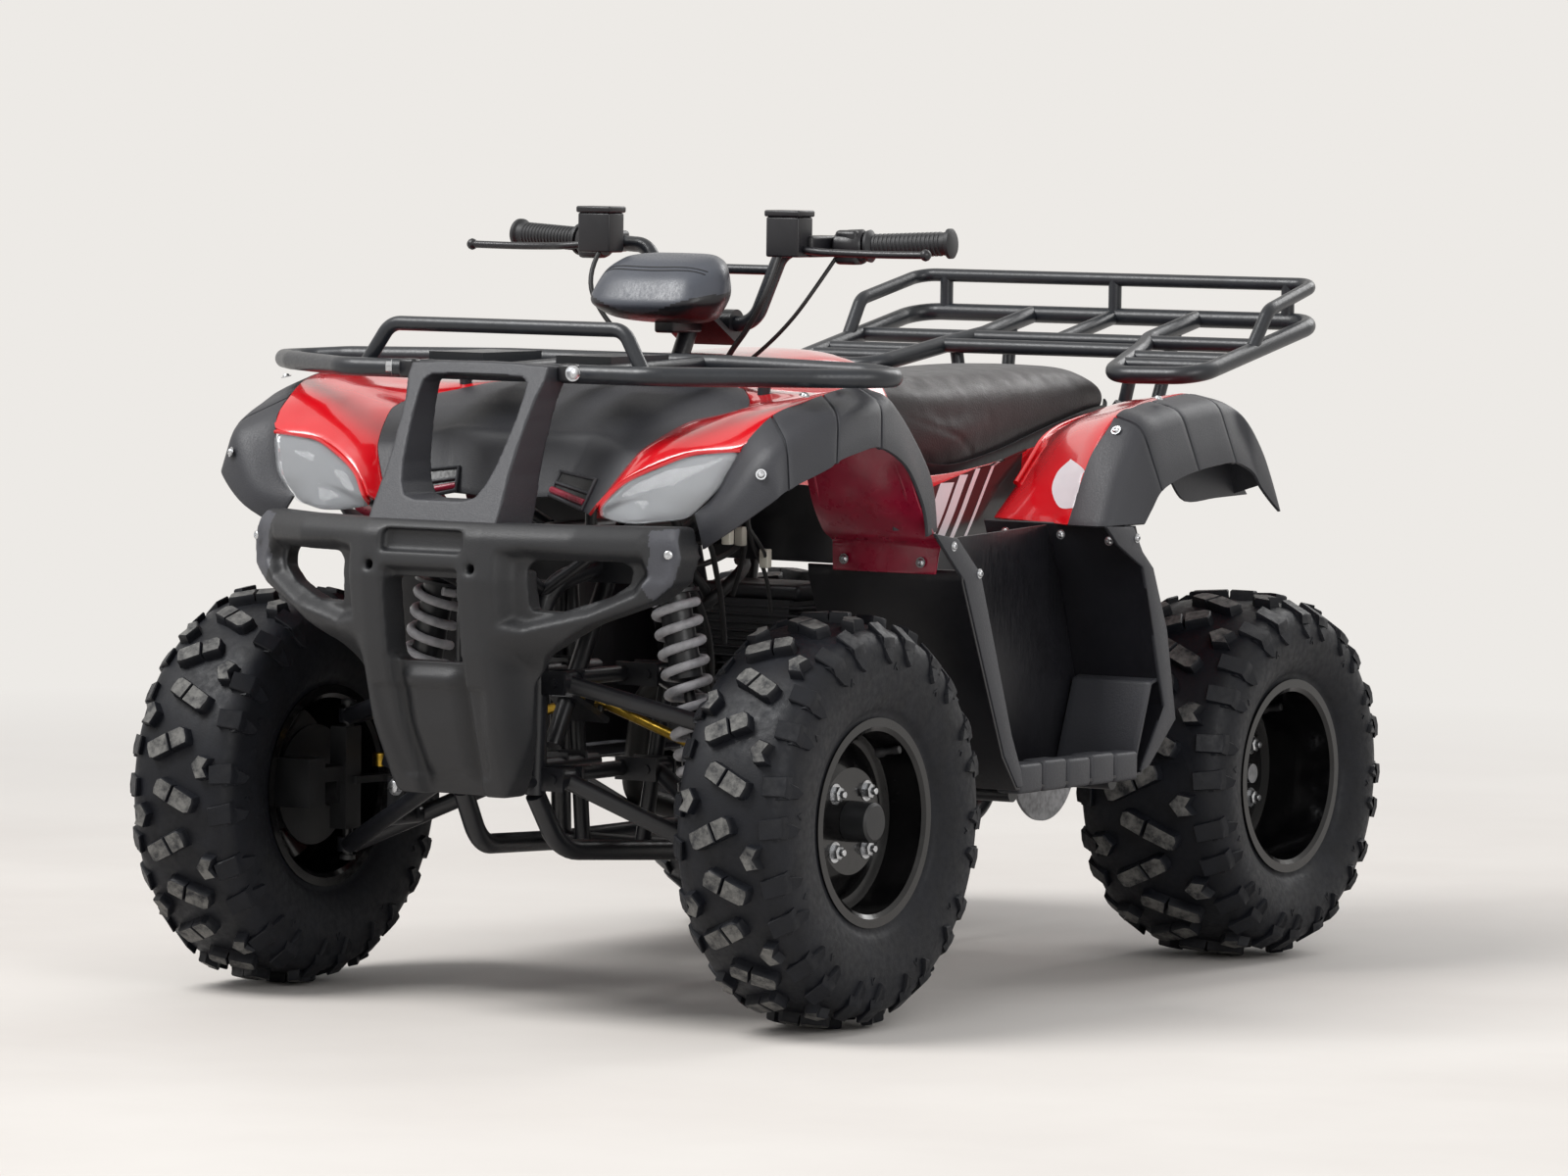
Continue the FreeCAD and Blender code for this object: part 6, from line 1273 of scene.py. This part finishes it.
class QUAD_OT_controls(bpy.types.Operator):
    """Grips, levers, reservoirs and the instrument pod"""
    bl_idname = "quad.controls"
    bl_label = "Bar controls"

    def execute(self, context):
        bar = Vector((0, fore(378), 928))
        start = Vector((240, bar.y + 34, bar.z + 112))
        end = Vector((365, bar.y + 55, bar.z + 118))
        length = (end - start).length
        ribs = [(0, 13), (0, 22), (4, 23), (8, 18)]
        along = 10
        while along < length - 16:
            ribs += [(along, 15.6), (along + 1.2, 17), (along + 3.6, 17), (along + 4.8, 15.6)]
            along += 6.4
        ribs += [(length - 8, 17), (length - 6, 21), (length - 1, 21), (length + 1, 18), (length + 1, 0)]
        grip = turned_mesh([(0, 0)] + ribs, start, end, 36)
        way = (end - start).normalized()
        switch = turned_mesh([(0, 0), (0, 20), (3, 23), (20, 24), (38, 24), (42, 21), (43, 0)], start - way * 46,
                             start, 30)
        knob = brick((198, start.y - 24, start.z - 26), (234, start.y + 6, start.z + 22), 6)
        tank = Vector((158, bar.y - 42, bar.z + 102))
        cup = brick((tank.x - 27, tank.y - 19, tank.z - 6), (tank.x + 27, tank.y + 19, tank.z + 50), 3)
        lid = brick((tank.x - 29, tank.y - 21, tank.z + 50), (tank.x + 29, tank.y + 21, tank.z + 59), 2.5)
        clamp = brick((tank.x + 2, tank.y + 6, tank.z - 6), (tank.x + 34, start.y + 2, tank.z + 24), 5)
        lever = pipe([(tank.x + 12, tank.y, tank.z + 6), (210, tank.y - 10, tank.z + 2), (250, tank.y, tank.z + 1),
                      (310, tank.y + 3, tank.z), (378, tank.y + 2, tank.z + 1)], 5.4)
        ball = turned_mesh([(-8, 0), (-7, 4), (-4, 7), (0, 8.4), (4, 7), (7, 4), (8, 0)],
                           (380, tank.y + 2, tank.z + 1), (390, tank.y + 2, tank.z + 1), 20)
        for side, sign in SIDES:
            parts = [switch, knob, cup, lid, clamp, lever, ball]
            mesh = joined(parts) if sign > 0 else mirrored(joined(parts))
            piece(f"hand_control_{side}_housing", mesh, "steering", ("black",),
                  (f"hand_control_{side}",))
            here = grip.copy() if sign > 0 else mirrored(grip)
            piece(f"grip_{side}", here, "steering", ("grip",))
        self.pod(bar)
        return {"FINISHED"}

    def pod(self, bar):
        """A two-part rounded housing: a pale cover over a dark body, with two fine near-black lines across the
        cover, painted shade of two grooves.
        """
        cage = (((46, -166, 8), (78, -124, 2), (52, -60, -5)), ((84, -190, 27), (114, -128, 38), (76, -52, 43)),
                ((72, -168, 65), (100, -112, 79), (68, -56, 90)), ((46, -132, 92), (66, -100, 99), (50, -70, 101)))
        shape = bmesh.new()
        rings = []
        for front, side, back in cage:
            corners = [(-front[0], *front[1:]), front, side, back, (-back[0], *back[1:]), (-side[0], *side[1:])]
            rings.append([shape.verts.new((bar + Vector(corner)) * MM) for corner in corners])
        bridge(shape, rings)
        shape.faces.new(rings[0][::-1])
        shape.faces.new(rings[-1])
        bmesh.ops.recalc_face_normals(shape, faces=shape.faces[:])
        bmesh.ops.subdivide_edges(shape, edges=shape.edges[:], cuts=1, use_grid_fill=True)
        housing = shaped(to_mesh(shape), (("SUBSURF", {"levels": 3, "render_levels": 3}),), SMOOTH)
        stem = brick(bar + Vector((-16, -118, -12)), bar + Vector((16, -42, 20)), 4)
        cover = piece("pod_moulding", housing, "steering", ("pod", "black"), ("instrument_pod",))
        for face in housing.polygons:
            x, y, z = face.center / MM - bar
            split = 34 - 12 * math.cos(math.pi * x / 105) + 0.1 * (y + 120)
            face.material_index = 0 if z > split else 1
        piece("pod_stem", stem, "steering", ("black",))
        # Two fine near-black strips laid on the cover: painted shade of grooves, with no groove cut
        lines = []
        for back in (0, 9):
            left = [bar + Vector((x, -152 + back + 0.0016 * x * x, 70)) for x in range(-84, 85, 28)]
            right = [point + Vector((0, 1.6, 0.8)) for point in left]
            lines.append(laid(cover, left, right, (0, 0.55, -0.83), 0.3, 4))
        piece("pod_groove_shade_lines", joined(lines), "steering", ("groove",))


HOSES = (
    # Brake and throttle lines from the bar, then harness runs round the engine, with y behind the front axle
    ("steering", 4.0, ((150, 326, 1030), (150, 300, 985), (120, 300, 930), (70, 310, 880), (40, 330, 840))),
    ("steering", 3.5, ((-150, 326, 1030), (-158, 296, 990), (-120, 292, 930), (-60, 300, 880), (-30, 330, 840))),
    ("steering", 3.0, ((200, 400, 1030), (190, 360, 985), (150, 350, 930), (90, 350, 880), (30, 350, 840))),
    ("chassis", 6.0, ((60, 60, 600), (120, 90, 560), (150, 130, 480), (140, 180, 400), (110, 230, 340))),
    ("chassis", 5.0, ((90, 10, 690), (150, 40, 640), (180, 90, 560), (170, 140, 470), (130, 190, 420))),
    ("chassis", 4.0, ((120, -40, 640), (190, 20, 600), (220, 90, 620), (200, 170, 640), (140, 230, 640))),
    ("chassis", 9.0, ((70, 200, 520), (120, 180, 540), (150, 220, 580), (120, 300, 600), (80, 340, 600))),
    ("chassis", 4.0, ((230, -20, 690), (240, 20, 650), (225, 60, 600), (215, 90, 560), (200, 120, 500))),
    ("chassis", 3.0, ((250, 60, 740), (258, 80, 690), (240, 120, 640), (252, 150, 590), (236, 180, 540))),
    ("chassis", 3.5, ((210, 100, 740), (196, 110, 690), (220, 140, 650), (190, 180, 610), (160, 200, 560))),
    ("chassis", 7.0, ((100, 110, 700), (130, 120, 650), (110, 160, 600), (130, 190, 560), (100, 230, 540))),
    ("chassis", 2.5, ((270, 90, 720), (262, 70, 670), (276, 90, 640), (262, 130, 616), (230, 170, 606))),
)
CONNECTORS = ((244, 58, 652), (214, 136, 646), (260, 128, 618))


class QUAD_OT_hoses(bpy.types.Operator):
    """Brake hoses, cables and the harness"""
    bl_idname = "quad.hoses"
    bl_label = "Hoses and cables"

    def execute(self, context):
        for body in ("steering", "chassis"):
            runs = [pipe([(x, fore(y), z) for x, y, z in points], radius) for owner, radius, points in HOSES
                    if owner == body]
            piece(f"{body}_hoses", joined(runs), body, ("hose",))
        plugs = [brick((x - 7, fore(y) - 6, z - 13), (x + 7, fore(y) + 6, z + 13), 2) for x, y, z in CONNECTORS]
        piece("harness_plugs", joined(plugs), "chassis", ("plug",))
        return {"FINISHED"}


class QUAD_OT_footwells(bpy.types.Operator):
    """Footwells: two cross walls and a floor with turned edges, an inner wall and a ribbed lip"""
    bl_idname = "quad.footwells"
    bl_label = "Footwells"

    def execute(self, context):
        sizes = context.scene.quad_sizes
        inner, outer, top, floor = 250, 500, 648, 300
        line = [(fore(255), 606, -4), (fore(256), 590, 0), (fore(366), 346, 0), (fore(403), floor, 0),
                (aft(-440), floor, 0), (aft(-376), 392, 0), (aft(-440), 585, 0), (aft(-468), top, 0)]
        rows = [[(inner, y, z), (outer - 8 + out, y, z), (outer - 1, y, z)] for y, z, out in line]
        trough = shell(rows, sizes.wall, (0, 0, 1), 6, 1)
        wall = [[(362, y, low), (358, y, high)] for y, low, high in
                ((fore(264), 588, 622), (fore(340), 410, 630), (fore(430), 304, 636), (aft(-472), 304, 646),
                 (aft(-442), 304, 585), (aft(-380), 388, 396))]
        side = shell(wall, sizes.wall, (1, 0, 0), 6, 1)
        both_sides("footwell_troughs", [trough, side], "black", ("footwells",))
        # The step on the lower rear wall is a moulding in the paler edge grey, and that paler grey also paints the
        # lighter reflection this upward-facing face shows
        step = [[(x, aft(-452), floor + 4), (x, aft(-406), 426), (x, aft(-388), 430)]
                for x in (364, 410, 455, outer - 7)]
        both_sides("footwell_steps", [shell(step, sizes.wall, (0, -1, 0), 5, 3)], "strip")
        front = [(fore(181), 659), (fore(240), 650), (fore(300), 600), (fore(388), 372), (fore(414), 322),
                 (fore(420), 300), (fore(404), 300), (fore(368), 346), (fore(258), 592), (fore(222), 622)]
        rear = [(aft(-545), 651), (aft(-470), 648), (aft(-444), 612), (aft(-414), 588), (aft(-374), 500),
                (aft(-346), 370), (aft(-420), 306), (aft(-440), 302), (aft(-377), 390), (aft(-418), 520),
                (aft(-442), 590), (aft(-512), 624)]
        thick = 7
        edges = []
        for outline in (front, rear):
            shape = bmesh.new()
            shape.faces.new([shape.verts.new(Vector((outer - thick, y, z)) * MM) for y, z in outline])
            shape.normal_update()
            bmesh.ops.triangulate(shape, faces=shape.faces[:])
            bmesh.ops.recalc_face_normals(shape, faces=shape.faces[:])
            if sum(face.normal.x for face in shape.faces) < 0:
                bmesh.ops.reverse_faces(shape, faces=shape.faces[:])
            plate = shaped(to_mesh(shape), (("SOLIDIFY", {"thickness": thick * MM, "offset": 1.0}),
                                            ("BEVEL", {"width": 2 * MM, "segments": 2, "limit_method": "ANGLE"})))
            edges.append(plate)
        both_sides("footwell_edges", edges, "strip")
        lip = []
        start, finish, count = fore(410), aft(-446), 5
        for step in range(count):
            y = start + (finish - start) * step / count
            end = start + (finish - start) * (step + 1) / count - 3
            lip.append(brick((outer - 40, y, 290), (outer, end, 331 + (2 if step % 2 else 0)), 6, 3))
            lip.append(brick((outer - 120, y + 20, 306), (outer - 44, y + 32, 313), 2, 2))
        both_sides("footwell_lips", lip, "strip")
        screws = [((499.5, aft(-462), 632), (1, 0, 0)), ((499.5, fore(228), 640), (1, 0, 0)),
                  ((499.5, fore(296), 600), (1, 0, 0)), ((392, aft(-490), 634), (0, -1, 0)),
                  ((300, aft(-490), 634), (0, -1, 0)), ((470, aft(-488), 628), (0, -1, 0))]
        heads = [bolt(place, way, 5) for place, way in screws]
        both_sides("footwell_screws", heads, "zinc")
        return {"FINISHED"}


class QUAD_OT_engine(bpy.types.Operator):
    """Cooling fins, inlet and covers on the engine"""
    bl_idname = "quad.engine"
    bl_label = "Engine"

    def execute(self, context):
        fins = []
        half, pitch, thick = 98, 11.5, 4
        for step in range(10):
            z = 420 + step * pitch
            fins.append(brick((-half, -140 + 3.0 * step, z), (half, 88 - 8.0 * step, z + thick), 1.6, 2))
        head = brick((-84, -104, 534), (84, 4, 558), 9, 3)
        piece("engine_fins", joined(fins + [head]), "chassis", ("engine",))
        barrel = [(0, 0), (0, 24), (26, 24), (30, 18), (52, 18), (56, 22), (80, 22), (84, 0)]
        disc = [(0, 0), (0, 62), (5, 66), (9, 62), (11, 40), (15, 38), (15, 0)]
        trim = [turned_mesh(barrel, (40, 12, 480), (52, 60, 506), 28)]
        crank_y, crank_z, reach = 60, 314, 55
        for sign in (1, -1):
            trim.append(turned_mesh(disc, (sign * 102, crank_y, crank_z), (sign * 110, crank_y, crank_z), 40))
        piece("engine_covers", joined(trim), "chassis", ("casting",))
        bolts = []
        for number in range(8):
            turn = math.radians(45 * number + 20)
            for sign in (1, -1):
                spot = (sign * 108, crank_y + reach * math.cos(turn), crank_z + reach * math.sin(turn))
                bolts.append(bolt(spot, (sign, 0, 0), 4.5, 5, True))
        piece("engine_bolts", joined(bolts), "chassis", ("zinc",))
        return {"FINISHED"}


def laid(target, left, right, way, lift, fine=12):
    """A film on a piece: a grid between two edges in millimetres, dropped along way onto its surface."""
    surface = BVHTree.FromPolygons([vertex.co for vertex in target.data.vertices],
                                   [face.vertices for face in target.data.polygons])
    way = Vector(way).normalized()
    edges = [[[Vector(point)] for point in edge] for edge in (left, right)]
    rows = (len(left) - 1) * fine
    shape = bmesh.new()
    grid = []
    for row in range(rows + 1):
        start, end = (between(edge, row / fine)[0] for edge in edges)
        line = []
        for step in range(fine + 1):
            point = start.lerp(end, step / fine) * MM
            hit = surface.ray_cast(point - way * 0.08, way)[0]
            line.append(shape.verts.new((hit if hit else point) - way * lift * MM))
        grid.append(line)
    for line, follower in zip(grid, grid[1:]):
        for a, b, c, d in zip(line, line[1:], follower[1:], follower):
            face = shape.faces.new((a, b, c, d))
            face.normal_update()
            if face.normal.dot(way) > 0:
                face.normal_flip()
    return shaped(to_mesh(shape, SMOOTH), (("SOLIDIFY", {"thickness": 0.3 * MM, "offset": 1.0}),), SMOOTH)


class QUAD_OT_film(bpy.types.Operator):
    """Printed film on the side panels and fenders"""
    bl_idname = "quad.film"
    bl_label = "Printed film"

    def execute(self, context):
        panel = bpy.data.objects["side_panel_shells"]
        inward = (-1, 0, 0)
        field = laid(panel, [(200, 6, 606), (200, 44, 650), (196, 80, 694)],
                     [(200, 276, 616), (200, 300, 680), (196, 326, 742)], inward, 0.5)
        stripes = []
        low = 610
        for start, wide, high in ((14, 34, 699), (56, 20, 709), (91, 11, 717), (129, 7, 725)):
            left = [(200, start, low), (196, start + high - low, high)]
            right = [(200, start + wide, low), (196, start + wide + high - low, high)]
            stripes.append(laid(panel, left, right, inward, 1.0))
        both_sides("side_film", [field], "black_film")
        both_sides("side_film_stripes", stripes, "white_film")
        fender = bpy.data.objects["rear_fender_shells"]
        left = [(402, aft(-470), 666), (366, aft(-452), 668), (334, aft(-420), 692), (332, aft(-402), 716),
                (352, aft(-404), 732)]
        right = [(402, aft(-470), 668), (404, aft(-462), 686), (404, aft(-452), 706), (402, aft(-446), 722),
                 (356, aft(-406), 736)]
        patch = laid(fender, left, right, (-0.4, 0.75, -0.5), 0.7)
        both_sides("fender_film", [patch], "white_film")
        return {"FINISHED"}


CAD_WEAR = {
    "arms": ("upper_arms", "lower_arms", "swingarm", "steering_stem", "main_frame"),
    "steel": ("front_rack", "rear_rack", "handlebar"),
    "wheel": ("front_rim_left", "front_rim_right", "rear_rim_left", "rear_rim_right"),
    "casting": ("front_hub_left", "front_hub_right", "knuckle_left", "knuckle_right"),
    "engine": ("engine",),
    "exhaust": ("exhaust",),
    "machined": ("rear_axle", "chain", "drive_sprocket"),
    "yellow_zinc": ("tie_rod_left", "tie_rod_right"),
}


class QUAD_OT_finishes(bpy.types.Operator):
    """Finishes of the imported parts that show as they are"""
    bl_idname = "quad.finishes"
    bl_label = "Part finishes"

    def execute(self, context):
        for wear, nodes in CAD_WEAR.items():
            for node in nodes:
                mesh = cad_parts[node].data
                mesh.materials.clear()
                mesh.materials.append(finishes[wear])
        return {"FINISHED"}


# Stage: the photograph's camera, a pale floor and soft lamps
CAMERA_AZIMUTH = math.radians(32.842)
CAMERA_DISTANCE = 11.8668
CAMERA_HEIGHT = 1.265
CAMERA_YAW = math.radians(0.0317)
CAMERA_PITCH = math.radians(-3.4684)
CAMERA_ROLL = math.radians(0.6965)
CAMERA_LENS = 191.25


class QUAD_OT_stage(bpy.types.Operator):
    """Camera, floor and lamps"""
    bl_idname = "quad.stage"
    bl_label = "Stage"

    def execute(self, context):
        scene = context.scene
        scene.view_settings.view_transform = "Standard"
        camera = bpy.data.objects.new("camera", bpy.data.cameras.new("camera"))
        scene.collection.objects.link(camera)
        camera.data.lens = CAMERA_LENS
        camera.data.sensor_width = 36
        camera.data.clip_end = 200
        turn = CAMERA_AZIMUTH + CAMERA_YAW
        ahead = Vector((-math.sin(turn) * math.cos(CAMERA_PITCH), math.cos(turn) * math.cos(CAMERA_PITCH),
                        math.sin(CAMERA_PITCH)))
        right = ahead.cross(Vector((0, 0, 1))).normalized()
        up = right.cross(ahead)
        tipped = right * math.cos(CAMERA_ROLL) + up * math.sin(CAMERA_ROLL)
        upright = up * math.cos(CAMERA_ROLL) - right * math.sin(CAMERA_ROLL)
        place = Vector((math.sin(CAMERA_AZIMUTH) * CAMERA_DISTANCE, -math.cos(CAMERA_AZIMUTH) * CAMERA_DISTANCE,
                        CAMERA_HEIGHT))
        turned = Matrix((tipped, upright, -ahead)).transposed().to_4x4()
        camera.matrix_world = Matrix.Translation(place) @ turned
        scene.camera = camera
        shape = bmesh.new()
        bmesh.ops.create_grid(shape, x_segments=1, y_segments=1, size=60)
        floor = bpy.data.objects.new("floor", to_mesh(shape))
        scene.collection.objects.link(floor)
        material, tree, place = finish_tree("pale_concrete_floor")
        base = mottled(tree, place, 900, 6, (0.3, 0.7), linear("#CFC9C3"), linear("#DAD5CF"))
        away = add(tree, "ShaderNodeVectorMath", {"operation": "LENGTH"}, {0: place}).outputs["Value"]
        floor_look = add(tree, "ShaderNodeBsdfPrincipled", {}, {"Base Color": base, "Roughness": 0.75})
        haze = add(tree, "ShaderNodeEmission", {}, {"Color": linear(SURROUND), "Strength": 1.0})
        far = add(tree, "ShaderNodeMapRange", {}, {"Value": away, "From Min": 1.7, "From Max": 5.5})
        both = add(tree, "ShaderNodeMixShader", {},
                   {0: far.outputs[0], 1: floor_look.outputs[0], 2: haze.outputs[0]})
        add(tree, "ShaderNodeOutputMaterial", {}, {"Surface": both.outputs[0]})
        floor.data.materials.append(material)
        for name, spot, size, power in (("key", (-2.5, -3.5, 5.8), 3.6, 420), ("fill", (5.5, -3.0, 3.2), 4.0, 130),
                                        ("back", (1.0, 6.0, 4.5), 4.0, 170)):
            lamp = bpy.data.objects.new(name, bpy.data.lights.new(name, "AREA"))
            lamp.data.energy = power
            lamp.data.shape = "DISK"
            lamp.data.size = size
            lamp.location = spot
            lamp.rotation_mode = "QUATERNION"
            lamp.rotation_quaternion = (Vector((0, 0, 0.5)) - Vector(spot)).to_track_quat("-Z", "Y")
            scene.collection.objects.link(lamp)
        world = bpy.data.worlds.new("pale_surround")
        scene.world = world
        world.use_nodes = True
        tree = world.node_tree
        tree.nodes.clear()
        rays = add(tree, "ShaderNodeLightPath", {}, {})
        plain = add(tree, "ShaderNodeBackground", {}, {"Color": linear(SURROUND), "Strength": 1.0})
        light = add(tree, "ShaderNodeBackground", {}, {"Color": linear("#EEF1F6"), "Strength": 0.5})
        sees = rays.outputs["Is Camera Ray"]
        for kind in ("Is Glossy Ray", "Is Transmission Ray"):
            sees = add(tree, "ShaderNodeMath", {"operation": "MAXIMUM"},
                       {0: sees, 1: rays.outputs[kind]}).outputs[0]
        both = add(tree, "ShaderNodeMixShader", {}, {0: sees, 1: light.outputs[0], 2: plain.outputs[0]})
        add(tree, "ShaderNodeOutputWorld", {}, {"Surface": both.outputs[0]})
        return {"FINISHED"}


class QUAD_PT_panel(bpy.types.Panel):
    """Every step of the machine's looks"""
    bl_label = "Utility Quad"
    bl_idname = "QUAD_PT_panel"
    bl_space_type = "VIEW_3D"
    bl_region_type = "UI"
    bl_category = "Quad"

    def draw(self, context):
        for step in STEPS:
            self.layout.operator(step.bl_idname)


STEPS = (QUAD_OT_stage, QUAD_OT_finishes, QUAD_OT_tyres, QUAD_OT_wheels, QUAD_OT_flares, QUAD_OT_red_panels,
         QUAD_OT_nose, QUAD_OT_lamps, QUAD_OT_guard, QUAD_OT_seat, QUAD_OT_suspension, QUAD_OT_controls,
         QUAD_OT_hoses, QUAD_OT_footwells, QUAD_OT_engine, QUAD_OT_film)
CLASSES = (QuadSizes, QuadColours, *STEPS, QUAD_PT_panel)


def register():
    for item in CLASSES:
        bpy.utils.register_class(item)
    bpy.types.Scene.quad_sizes = bpy.props.PointerProperty(type=QuadSizes)
    bpy.types.Scene.quad_colours = bpy.props.PointerProperty(type=QuadColours)


def unregister():
    del bpy.types.Scene.quad_colours
    del bpy.types.Scene.quad_sizes
    for item in reversed(CLASSES):
        bpy.utils.unregister_class(item)


def main():
    """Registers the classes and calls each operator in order."""
    register()
    make_finishes(bpy.context.scene.quad_colours)
    for step in STEPS:
        group, name = step.bl_idname.split(".")
        getattr(getattr(bpy.ops, group), name)()


if __name__ == "__main__":
    main()
